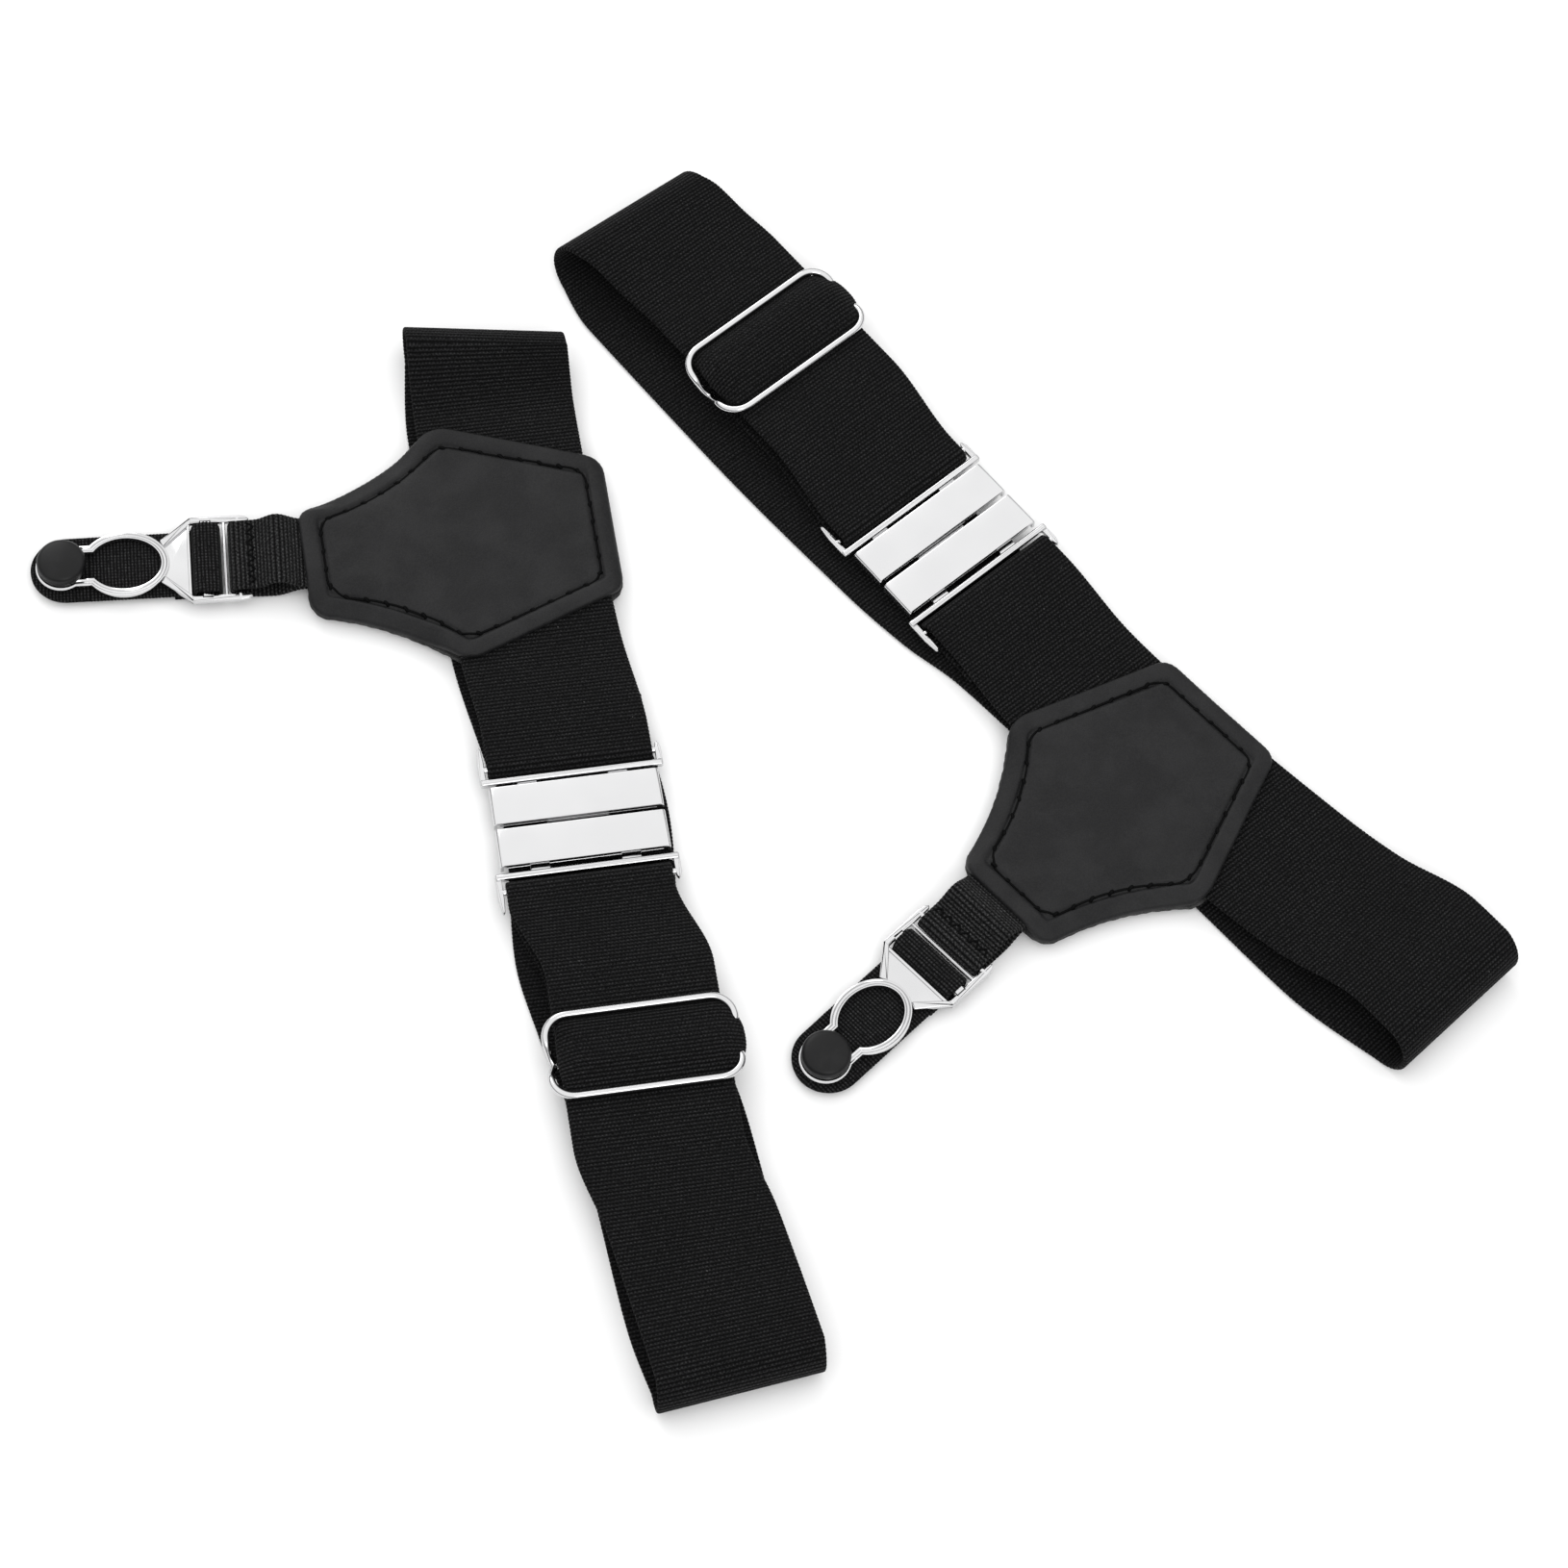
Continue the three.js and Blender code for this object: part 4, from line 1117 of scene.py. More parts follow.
@dataclass
class Band:
    """The wide elastic: one loop, its return layer and its end on the slider."""

    lay: Lay
    finishes: Finishes
    width: float = 32.0
    thickness: float = 1.05
    bottom_z: float = 0.58
    return_z: float = 2.05
    top_z: float = 5.05
    slider_z: float = 6.45
    patch_z: float = 3.85
    patch_reach: float = 26.0
    loop_height: float = 9.0
    loop_depth: float = 4.5
    fold: float = 1.5
    rib: float = 0.79
    relief: float = 0.022
    wobble: float = 0.11
    step: float = 0.2
    sewn_length: float = 7.0
    slider_half: float = 9.61
    travel_to_clasp: float = 6.0
    travel_to_end: float = 8.0
    hump_reach: float = 7.38
    hump_rise: float = 1.75
    seam_half: float = 14.0
    stitch: float = 1.4

    def height(self, s: Array) -> Array:
        """The upper layer's height, with a slight unevenness away from the metal.

        Args:
            s: the places along the band.

        Returns:
            One height for each place.
        """
        lay = self.lay
        curve = through([
            (lay.patch_end + self.loop_depth, self.loop_height),
            (-self.patch_reach, self.patch_z),
            (self.patch_reach, self.patch_z),
            (lay.receiver_bar - 6, self.top_z),
            (lay.hook_bar + 1, self.top_z),
            (lay.slider_place - self.slider_half - self.travel_to_clasp, self.slider_z),
            (lay.slider_place + self.slider_half + self.travel_to_end, self.slider_z),
            (lay.slider_end - self.loop_depth, self.loop_height),
        ])
        return curve(s)

    def skew(self, s: Array) -> Array:
        """The angle in plan of the band's width.

        Args:
            s: the places along the band.

        Returns:
            One angle in radians for each place.
        """
        lay = self.lay
        curve = through([
            (lay.patch_end, math.radians(lay.patch_end_skew)),
            (-self.patch_reach, 0.0),
            (lay.slider_place + 16.5, 0.0),
            (lay.slider_end, math.radians(lay.slider_end_skew)),
        ])
        return curve(s)

    def level(self, s: Array, drift: Callable[[Array], Array], z: Array | float) -> Array:
        """Rows of a layer that lies flat.

        Args:
            s: the places along the band.
            drift: its sideways place, from the place along.
            z: its height.

        Returns:
            Rows of [s, t, z, skew].
        """
        return np.stack([s, drift(s), np.broadcast_to(z, s.shape), self.skew(s)], axis=1)

    def bend(self, turn: Array, start: float = 0.0, end: float = 0.0, skew: float = 0.0) -> Array:
        """Rows of a half turn whose sideways place goes from a start to an end.

        Args:
            turn: the half turn's rows.
            start: the sideways place where it starts.
            end: the sideways place where it ends.
            skew: the angle in plan of its width.

        Returns:
            Rows of [s, t, z, skew].
        """
        t = start + (end - start) * turn[:, 1]
        return np.stack([turn[:, 0], t, turn[:, 2], np.full(len(turn), skew)], axis=1)

    def route(self) -> tuple[Array, Array]:
        """The loop's middle line from the receiver's fold round to the hook's fold.

        Returns:
            The line as [s, t, z] rows, and the skew at each row.
        """
        lay = self.lay
        top_t, bottom_t = through(lay.top_drift), through(lay.bottom_drift)
        patch_turn = lay.patch_end + self.loop_depth
        slider_turn = lay.slider_end - self.loop_depth
        middle = (self.loop_height + self.bottom_z) / 2
        radius = (self.loop_height - self.bottom_z) / 2
        at_patch = half_turn(patch_turn, middle, -self.loop_depth, radius, False, 25)
        at_slider = half_turn(slider_turn, middle, self.loop_depth, radius, True, 25)
        sewn = np.linspace(lay.receiver_bar - 13, lay.receiver_bar - 0.5, 20)
        to_patch = np.arange(lay.receiver_bar - 0.5, patch_turn, -0.5)
        below = np.arange(patch_turn + 0.5, slider_turn, 0.5)
        to_hook = np.arange(slider_turn - 0.5, lay.hook_bar, -0.5)
        rows = [
            self.level(sewn, np.zeros_like, self.return_z),
            self.bend(half_turn(lay.receiver_bar, lay.bar_z, self.fold, self.fold, True, 25)),
            self.level(to_patch, top_t, self.height(to_patch)),
            self.bend(
                at_patch,
                float(top_t(patch_turn)),
                float(bottom_t(patch_turn)),
                float(self.skew(lay.patch_end)),
            ),
            self.level(below, bottom_t, self.bottom_z),
            self.bend(
                at_slider,
                float(bottom_t(slider_turn)),
                float(top_t(slider_turn)),
                float(self.skew(lay.slider_end)),
            ),
            self.level(to_hook, top_t, self.height(to_hook)),
            self.bend(half_turn(lay.hook_bar, lay.bar_z, -self.fold, self.fold, False, 25)),
        ]
        route = resample(np.concatenate(rows), self.step, 0.35)
        return route[:, :3], route[:, 3]

    def cloth_piece(
        self,
        word: str,
        route: Array,
        skew: Array,
        weave: Weave,
        crown: Callable[[Array, Array], Array] | None = None,
        widen: Array | None = None,
    ) -> bpy.types.Object:
        """A piece of the band's elastic.

        Args:
            word: the piece's name on this side.
            route: its middle line.
            skew: the angle in plan of its width at each row.
            weave: its section and ribs.
            crown: its lift from the place along and across.
            widen: its width's share at each row.

        Returns:
            The object.
        """
        shape, cloth = sweep_strap(route, skew, weave, crown, widen)
        return make_piece(
            self.lay.name(word), shape, self.lay.band, self.finishes.band, cloth, CLOTH_SHARP
        )

    def make_loop(self) -> None:
        """The loop itself, with its end sewn back under the receiver's fold."""
        lay = self.lay
        weave = Weave(self.width - 0.2, self.thickness - 0.1, self.rib, self.relief, self.wobble)
        piece = self.cloth_piece("elastic_loop", *self.route(), weave)
        ride(piece, lay.name("garter"), Slot.ELASTIC, lay.name("band"))

    def make_return(self) -> None:
        """The layer from the hook's fold back to the slider's end."""
        lay = self.lay
        start = lay.hook_bar
        end = lay.slider_place - self.sewn_length + 0.4
        s = np.arange(start, end, self.step)
        route = self.level(s, through(lay.top_drift), self.return_z)[:, :3]
        weave = Weave(self.width - 0.4, self.thickness - 0.1, self.rib, self.relief, self.wobble)
        piece = self.cloth_piece("elastic_return", route, np.zeros_like(s), weave)
        bodies = (lay.name("garter"), lay.name("slider"))
        ends = np.array([[start + 3.5, 0, 0], [end - 1, 0, 0]])
        stretch(piece, lay.band, bodies, ends, Slot.ELASTIC, lay.name("band_return"))

    def make_slider_end(self) -> None:
        """The band's end, folded round the slider's middle bar."""
        lay = self.lay
        place = lay.slider_place
        turn = half_turn(place, lay.bar_z, self.fold, self.fold, True, 25) * (1, 0, 1)
        lower = np.linspace(place - self.sewn_length, place, 20)
        flat = 0 * lower
        rows = np.concatenate([
            np.stack([lower, flat, flat + self.return_z], axis=1),
            turn,
            np.stack([lower[::-1], flat, flat + self.top_z], axis=1),
        ])
        route = resample(rows + (0, lay.slider_drift, 0), self.step, 0.25)
        weave = Weave(self.width - 0.5, self.thickness - 0.1, self.rib, self.relief, 0.1)
        piece = self.cloth_piece("elastic_slider_end", route, np.zeros(len(route)), weave)
        ride(piece, lay.name("slider"), Slot.ELASTIC, lay.name("slider_sewn_end"))

    def droop(self, along: Array, sideways: Array) -> Array:
        """The drop of the hump's edges, which curl down.

        It is the square of the share past the flat middle, and fades out at the hump's two ends.

        Args:
            along: the millimetres along the hump.
            sideways: the millimetres across it.

        Returns:
            The lift, which is negative.
        """
        out = np.abs(sideways) / (self.width / 2)
        bend = np.clip((out - 0.8) / 0.24, 0, 1.4) ** 2
        return -bend * 1.3 * np.interp(along, [0, 4, 14, 18], [0.1, 1, 1, 0.1])

    def make_hump(self) -> None:
        """The part of the band that stands up over the slider's middle bar.

        Its height is a rounded arch along the band. Seen from above, both of its ends are round: each
        end's reach falls off as a root of one minus a power of the distance from the middle bar. The
        end away from the clip swells out over the wire's pinch, and the other stays inside the lobes.
        """
        lay = self.lay
        s = self.hump_reach * np.sin(np.linspace(-1, 1, 190) * math.pi / 2 * 0.985)
        share = np.abs(s) / self.hump_reach
        arch = (1 - share**2.4) ** 0.75
        swollen = 14.4 + 4.9 * (1 - share**2.3) ** 0.5
        inside = 14.2 + 2.0 * (1 - share**3) ** 0.5
        t = lay.slider_drift + (inside - swollen) / 2
        z = self.slider_z + 0.35 + self.hump_rise * arch
        route = np.stack([lay.slider_place + s, t, z], axis=1)
        weave = Weave(self.width, 0.8, 0.74, 0.1, 0.1, columns=26)
        share = (swollen + inside) / self.width
        piece = self.cloth_piece("elastic_hump", route, 0 * s, weave, self.droop, share)
        ride(piece, lay.name("slider"), Slot.ELASTIC)

    def make_seam(self, word: str, s: float, t: float, body: str) -> None:
        """A seam of thread across the band, as a wave that runs in and out of the cloth.

        Args:
            word: the CAD node's name on this side.
            s: the seam's place along the band.
            t: how far it sits sideways.
            body: the body it rides on.
        """
        across = np.linspace(-self.seam_half, self.seam_half, 141)
        wave = 0.14 * np.sin(2 * math.pi * across / self.stitch)
        route = np.stack([s + wave, t + across, self.lay.bar_z + wave], axis=1)
        piece = make_piece(
            self.lay.name(word + "_thread"),
            sweep_rod(route, 0.2, THREAD_SIDES),
            self.lay.band,
            self.finishes.thread,
        )
        ride(piece, self.lay.name(body), Slot.THREAD, self.lay.name(word))

    def make(self) -> None:
        """Make every piece of the band."""
        lay = self.lay
        self.make_loop()
        self.make_return()
        self.make_slider_end()
        self.make_hump()
        self.make_seam("band_end_stitching", lay.receiver_bar - 9, 0.0, "garter")
        seam = lay.slider_place + 2 - self.sewn_length
        self.make_seam("slider_end_stitching", seam, lay.slider_drift, "slider")


# ------------------------------------------------------------------ the clasp


@dataclass
class Clasp:
    """The hook clasp: two frames with polished covers, hooked together."""

    lay: Lay
    finishes: Finishes
    half_width: float = 17.7
    bar_place: float = 3.0
    bar_width: float = 1.35
    bar_low: float = -0.55
    bar_high: float = 1.05
    strap_bar: float = 0.65
    arm: float = 1.2
    long_arm: float = 4.2
    short_arm: float = 1.2
    arm_high: float = 0.62
    tab_place: float = 8.75
    tab_half: float = 1.9
    cover_start: float = 4.6
    cover_length: float = 7.9
    cover_width: float = 32.8
    cover_high: float = 1.98
    cover_sheet: float = 0.8
    cover_bend: float = 0.75
    core_low: float = -0.45
    core_high: float = 0.15
    half_length: float = 13.0
    tongue_half: float = 6.0
    tongue_low: float = -2.05
    tongue_high: float = -1.35
    lip_high: float = 0.05

    @property
    def cover_end(self) -> float:
        """Where a half's cover ends, along the band."""
        return self.cover_start + self.cover_length

    def half_place(self, hook: bool) -> Place:
        """A half's frame: its strap bar at the origin, its cover towards +x.

        Args:
            hook: whether it is the hook's half.

        Returns:
            The frame.
        """
        band = self.lay.band
        bar = self.lay.hook_bar if hook else self.lay.receiver_bar
        origin = band.to_world(np.array([[bar, 0.0, self.lay.bar_z]]))[0]
        return Place(origin, -band.x, -band.y) if hook else Place(origin, band.x, band.y)

    def frame_parts(self, hook: bool) -> list[Shape]:
        """The shapes of a half's frame, as rounded blocks and a rod.

        Args:
            hook: whether it is the hook's half.

        Returns:
            The front bar, the strap bar, both arms and tabs, and what lies under the cover.
        """
        w, inner = self.half_width, self.half_width - self.arm
        x0, x1 = self.bar_place - self.bar_width / 2, self.bar_place + self.bar_width / 2
        reach = np.linspace(-inner - 0.4, inner + 0.4, 9)
        line = np.stack([0 * reach, reach, 0 * reach], axis=1)
        bar = soft_block(rectangle(x0, x1, -w, w, 0.45), self.bar_low, self.bar_high, 0.42)
        parts = [bar, sweep_rod(line, self.strap_bar)]
        for sign in (-1, 1):
            tip = self.long_arm if (sign > 0) != hook else self.short_arm
            arm = [
                (x1 - 0.3, inner), (x1 - 0.3, w), (-0.3 * tip, w), (-tip, w - 0.35),
                (-tip - 0.4, w - 0.6), (-tip, inner + 0.2), (-0.35 * tip, inner),
            ]
            outline = mirrored(arm, 0.15, (1, sign))
            parts.append(soft_block(outline, self.bar_low + 0.05, self.arm_high, 0.14))
            near, far = sign * self.tab_place - self.tab_half, sign * self.tab_place + self.tab_half
            tab = rectangle(x1 - 0.3, self.cover_start + 1, near, far, 0.2)
            parts.append(soft_block(tab, self.core_low, self.core_high, 0.12))
        return parts + (self.hook_parts() if hook else self.window_parts())

    def hook_parts(self) -> list[Shape]:
        """The shapes under the hook's cover.

        Returns:
            The core, the step down to the tongue, the tongue, and the lip at its tip.
        """
        end, t, tip = self.cover_end, self.tongue_half, self.half_length + 3.8
        c, low, top = self.cover_width / 2 - 1.25, self.tongue_low, self.core_high
        core = rectangle(self.cover_start + 0.3, end - 0.3, -c, c, 0.4)
        step = rectangle(end - 1.6, end - 0.2, -t, t, 0.2)
        plate = rectangle(end - 1.6, tip, -t, t, (0.2, 1.2, 1.2, 0.2))
        lip = rectangle(tip - 0.9, tip, -t + 1, t - 1, 0.2)
        return [
            soft_block(core, self.core_low, top, 0.15),
            soft_block(step, low, top, 0.15),
            soft_block(plate, low, self.tongue_high, 0.2),
            soft_block(lip, low, self.lip_high, 0.2),
        ]

    def window_parts(self) -> list[Shape]:
        """The shapes under the receiver's cover.

        Returns:
            Four strips round the window that the hook's lip stands in.
        """
        near, far = self.half_length - 2.4, self.half_length - 5.2
        c, t = self.cover_width / 2 - 1.25, self.tongue_half + 1
        strips = (
            (self.cover_start + 0.3, far, -c, c),
            (near, self.cover_end - 0.3, -c, c),
            (far - 0.2, near + 0.2, -c, -t),
            (far - 0.2, near + 0.2, t, c),
        )
        flat = [rectangle(*strip, 0.15) for strip in strips]
        return [soft_block(strip, self.core_low, self.core_high, 0.12) for strip in flat]

    def cover_shape(self) -> Shape:
        """A half's cover: one sheet, bent down at its two ends.

        Across the clasp, the sheet's middle line runs flat and then round a small bend to point down.
        It is carried from the cover's start to its end, and its thickness is added square to it. The
        outer face drops a little at the two cut edges, which rounds them.

        Returns:
            The sheet.
        """
        half, bend, high = self.cover_width / 2, self.cover_bend, self.cover_high
        foot = self.core_low + 0.05
        angle = np.linspace(0, math.pi / 2, 7)
        corner = [half - bend + bend * np.sin(angle), high - bend + bend * np.cos(angle)]
        right = np.stack(corner, axis=1)
        flat = np.linspace(-half + bend, half - bend, 17)[1:-1]
        outer = np.concatenate([
            [[-half, foot]],
            (right * (-1, 1))[::-1],
            np.stack([flat, np.full_like(flat, high)], axis=1),
            right,
            [[half, foot]],
        ])
        tangent = unit(np.gradient(outer, axis=0))
        inward = np.stack([tangent[:, 1], -tangent[:, 0]], axis=1)
        thin = np.where(np.abs(outer[:, :1]) > half - 0.01, 0.85, 1.0)
        section = np.concatenate([outer, (outer + inward * self.cover_sheet * thin)[::-1]])
        stops = self.cover_start + self.cover_length * np.array([0, 0.012, 0.04, 0.5, 0.96, 0.988, 1])
        rows = []
        for stop, drop in zip(stops, (0.26, 0.1, 0.02, 0, 0.02, 0.1, 0.26)):
            ring = section.copy()
            ring[: len(outer), 1] -= drop
            ring[: len(outer), 0] *= 1 - drop * 0.012
            rows.append(np.column_stack([np.full(len(ring), stop), ring]))
        columns = len(section)
        faces = with_caps(grid_faces(len(rows), columns, False, True), len(rows), columns)
        return np.concatenate(rows), [face[::-1] for face in faces]

    def make(self) -> None:
        """Make both halves."""
        lay, finishes = self.lay, self.finishes
        for hook, word in ((False, "receiver"), (True, "hook")):
            place, body = self.half_place(hook), lay.name(word)
            shape = join_parts(self.frame_parts(hook))
            piece = make_piece(lay.name(word + "_wirework"), shape, place, finishes.bright, sharp=40)
            ride(piece, body, Slot.NICKEL, lay.name(word + "_frame"))
            shape = self.cover_shape()
            piece = make_piece(lay.name(word + "_plate"), shape, place, finishes.cover, sharp=35)
            recalculate(piece)
            ride(piece, body, Slot.NICKEL, lay.name(word + "_cover"))


# ------------------------------------------------------------------ the slider


@dataclass
class Slider:
    """The bent wire: two high side bars, joined by pinched lobes to a low middle bar."""

    lay: Lay
    finishes: Finishes
    wire: float = 0.72
    reach: float = 8.25
    extreme: float = 17.95
    straight: float = 13.6
    pinch: float = 16.9
    high: float = 7.98
    corner_drop: float = 0.9

    def side(self, sign: int) -> Array:
        """One side's wire, from pinch to pinch.

        It runs straight across the band, rounds a corner as a quarter turn, and swings in a lobe to
        the pinch, with its three coordinates as powers of one share. The other end is its mirror.

        Args:
            sign: 1 for the side away from the clasp, and -1 for the other.

        Returns:
            Its middle line.
        """
        low = self.lay.bar_z
        across = np.linspace(-self.straight, self.straight, 12)
        middle = [np.full(12, sign * self.reach), across, np.full(12, self.high)]
        angle = np.linspace(0, 1, 9)[1:] * math.pi * 0.5
        radius = self.extreme - self.straight
        bend = np.stack([
            sign * (self.reach - radius * (1 - np.cos(angle)) * 0.95),
            self.straight + radius * np.sin(angle),
            self.high - self.corner_drop * (1 - np.cos(angle)),
        ], axis=1)
        share = np.linspace(0, 1, 8)[1:]
        x, y, z = bend[-1]
        tail = np.stack([
            x * (1 - share) ** 1.1,
            y - (self.extreme - self.pinch + 0.25) * share**1.6,
            z + (low - z) * np.sin(share * math.pi / 2) ** 1.5,
        ], axis=1)
        end = np.concatenate([bend, tail])
        return np.concatenate([(end * (1, -1, 1))[::-1], np.stack(middle, axis=1), end])

    def make(self) -> None:
        """Make the wire: both sides and the middle bar."""
        lay = self.lay
        parts = [sweep_rod(resample(self.side(sign), 0.4, 0.5), self.wire) for sign in (-1, 1)]
        t = np.linspace(-self.pinch, self.pinch, 30)
        parts.append(sweep_rod(np.stack([0 * t, t, 0 * t + lay.bar_z], axis=1), self.wire))
        points, faces = join_parts(parts)
        shape = (points + (lay.slider_place, lay.slider_drift, 0), faces)
        piece = make_piece(lay.name("slider_wire"), shape, lay.band, self.finishes.bright)
        ride(piece, lay.name("slider"), Slot.NICKEL, lay.name("slider_frame"))


# ------------------------------------------------------------------ the patch


@dataclass
class Patch:
    """The leather patch: a front and a back layer sewn together over the band and the clip strap."""

    lay: Lay
    finishes: Finishes
    narrow_half: float = 10.5
    narrow_place: float = 43.5
    wide_half: float = 26.0
    wide_place: float = 14.0
    far_half: float = 14.5
    far_place: float = -17.5
    middle: tuple[float, float] = (0.0, 12.0)
    corner: float = 3.0
    sag: float = 1.6
    stitch_inset: float = 4.0
    stitch_pitch: float = 3.9
    leather: float = 1.0
    back_z: float = 1.5
    over_band_z: float = 4.55
    over_band_half: float = 18.6
    over_strap_half: float = 9.2
    cut_radius: float = 0.55
    margin_swell: float = 0.22
    groove_depth: float = 0.5
    inner_swell: float = 0.2
    thread: float = 0.24
    # the knots' radius: partly thread, partly a dark stand-in for the shade in the stitch holes
    hole_shade_knot: float = 0.36
    edge_points: int = 420
    stitch_points: int = 1200

    def outline(self, inset: float, count: int) -> Array:
        """The patch's edge drawn in: round corners, and hollow sides at the clip end.

        Corners and hollow sides are quadratic curves, cut at even lengths.

        Args:
            inset: how far the edge is drawn in.
            count: how many points are wanted.

        Returns:
            The points, as [x, y].
        """
        half = [
            (self.far_half - inset * 0.6, self.far_place + inset),
            (self.wide_half - inset * 1.15, self.wide_place - inset * 0.15),
            (self.narrow_half - inset * 0.75, self.narrow_place - inset),
        ]
        corners = np.array(half + [(-x, y) for x, y in half[::-1]])
        before = corners + unit(np.roll(corners, 1, axis=0) - corners) * self.corner
        after = corners + unit(np.roll(corners, -1, axis=0) - corners) * self.corner
        u = np.linspace(0, 1, 13)[:, None]
        rows = []
        for i in range(6):
            if i in (2, 4):
                middle = (corners[i - 1] + corners[i]) / 2
                inward = unit(np.array([-middle[0], self.wide_place - middle[1]]))
                pull = middle + inward * 2 * self.sag
                rows.append((1 - u) ** 2 * after[i - 1] + 2 * u * (1 - u) * pull + u**2 * before[i])
            rows.append((1 - u) ** 2 * before[i] + 2 * u * (1 - u) * corners[i] + u**2 * after[i])
        edge = np.concatenate([*rows, rows[0][:1]])
        gap = np.linalg.norm(np.diff(edge, axis=0), axis=1)
        edge = edge[np.concatenate([[True], gap > 1e-6])]
        length = travelled(edge)
        even = np.linspace(0, length[-1], count, endpoint=False)
        return np.stack([np.interp(even, length, column) for column in edge.T], axis=1)

    def edge_distance(self, points: Array) -> Array:
        """How far points are from the patch's edge.

        Args:
            points: the points, as [x, y].

        Returns:
            One distance for each point.
        """
        edge = self.outline(0.0, 1000)
        parts = np.array_split(points, 1 + len(points) // 2000)
        gaps = [((part[:, None] - edge[None]) ** 2).sum(-1).min(1) for part in parts]
        return np.sqrt(np.concatenate(gaps))

    def lower_height(self, points: Array) -> Array:
        """The height of the front layer's underside.

        It goes from the back layer's face up to the band's. It is up where the point is well inside
        the edge, or over the band, or over the strap, each as a share from 0 to 1; the three shares
        are joined as one minus the product of their rests, which leaves no crease.

        Args:
            points: the points, as [x, y].

        Returns:
            One height for each point.
        """
        lay = self.lay
        inside = 1 - np.exp(-((self.edge_distance(points) / 4.0) ** 1.4))
        world = lay.patch.to_world(np.column_stack([points, np.zeros(len(points))]))
        band = lay.band.to_plan(world)
        off = np.abs(band[:, 1] - through(lay.top_drift)(band[:, 0]))
        over_band = 1 / (1 + np.exp((off - self.over_band_half) / 1.1))
        clip = lay.clip.to_plan(world)
        near_end = 1 / (1 + np.exp((-clip[:, 1] - 19) / 1.5))
        aside = np.abs(clip[:, 0]) - self.over_strap_half
        over_strap = near_end / (1 + np.exp(aside / 0.6))
        low = self.back_z + self.leather + 0.1
        share = 1 - (1 - inside) * (1 - over_band) * (1 - over_strap)
        return low + (self.over_band_z - low) * share

    def upper_height(self, points: Array) -> Array:
        """The height of the front layer's face.

        The face rounds down at the cut edge, swells over the margin, dips at the stitches and swells
        gently again inside them.

        Args:
            points: the points, as [x, y].

        Returns:
            One height for each point.
        """
        depth = self.edge_distance(points)
        edge = np.sqrt(1 - (1 - np.clip(depth / self.cut_radius, 0, 1)) ** 2)
        across = np.clip(depth / (self.stitch_inset - 0.2), 0, 1)
        margin = self.margin_swell * np.sin(math.pi * across) ** 0.8
        groove = -self.groove_depth * np.exp(-(((depth - self.stitch_inset) / 0.5) ** 2))
        past = np.clip(depth - self.stitch_inset, 0, None)
        inside = self.inner_swell * (1 - np.exp(-past / 1.6))
        x, y = points[:, 0], points[:, 1]
        waver = 0.07 * np.sin(x / 5.1 + 0.7) * np.cos(y / 6.3) + 0.03 * np.sin(x / 3.3 - y / 4.1)
        face = self.lower_height(points) + 0.35 + 0.65 * edge * self.leather
        return face + margin + groove + inside + waver

    def make_front(self) -> None:
        """The front layer, as rings that shrink from the edge to the middle."""
        lay = self.lay
        edge = self.outline(0.0, self.edge_points)
        centre = np.array(self.middle)
        shrink = np.concatenate([
            np.linspace(0, 0.035, 7, endpoint=False),
            np.linspace(0.035, 0.32, 34, endpoint=False),
            np.linspace(0.32, 0.985, 26),
        ])
        rings = []
        for inset in (0.06, 0.0):
            ring = centre + (edge - centre) * (1 - inset)
            rings.append(np.column_stack([ring, self.lower_height(ring)]))
        flat = (centre + (edge - centre)[None] * (1 - shrink)[:, None, None]).reshape(-1, 2)
        top = np.column_stack([flat, self.upper_height(flat)])
        rings += np.split(top, len(shrink))
        name, leather = lay.name("leather_front"), self.finishes.leather
        piece = make_piece(name, stack_rings(rings), lay.patch, leather, sharp=70)
        ride(piece, lay.name("garter"), Slot.LEATHER, lay.name("patch_front"))

    def make_back(self) -> None:
        """The back layer, with its brushed flesh side out.

        Its edge is the outline pushed out and in by a product of two fast sines and a slow one.
        """
        lay = self.lay
        edge = self.outline(0.0, self.edge_points)
        arc = np.arange(self.edge_points) / self.edge_points * 2 * math.pi
        fuzz = 0.1 * np.sin(61 * arc) * np.sin(23 * arc) + 0.02 + 0.1 * np.sin(5 * arc)
        edge = edge + unit(edge - np.array(self.middle)) * fuzz[:, None]
        shape = soft_block(edge, self.back_z, self.back_z + self.leather, 0.3, 4)
        piece = make_piece(lay.name("leather_back"), shape, lay.patch, self.finishes.flesh, sharp=60)
        ride(piece, lay.name("garter"), Slot.LEATHER, lay.name("patch_back"))

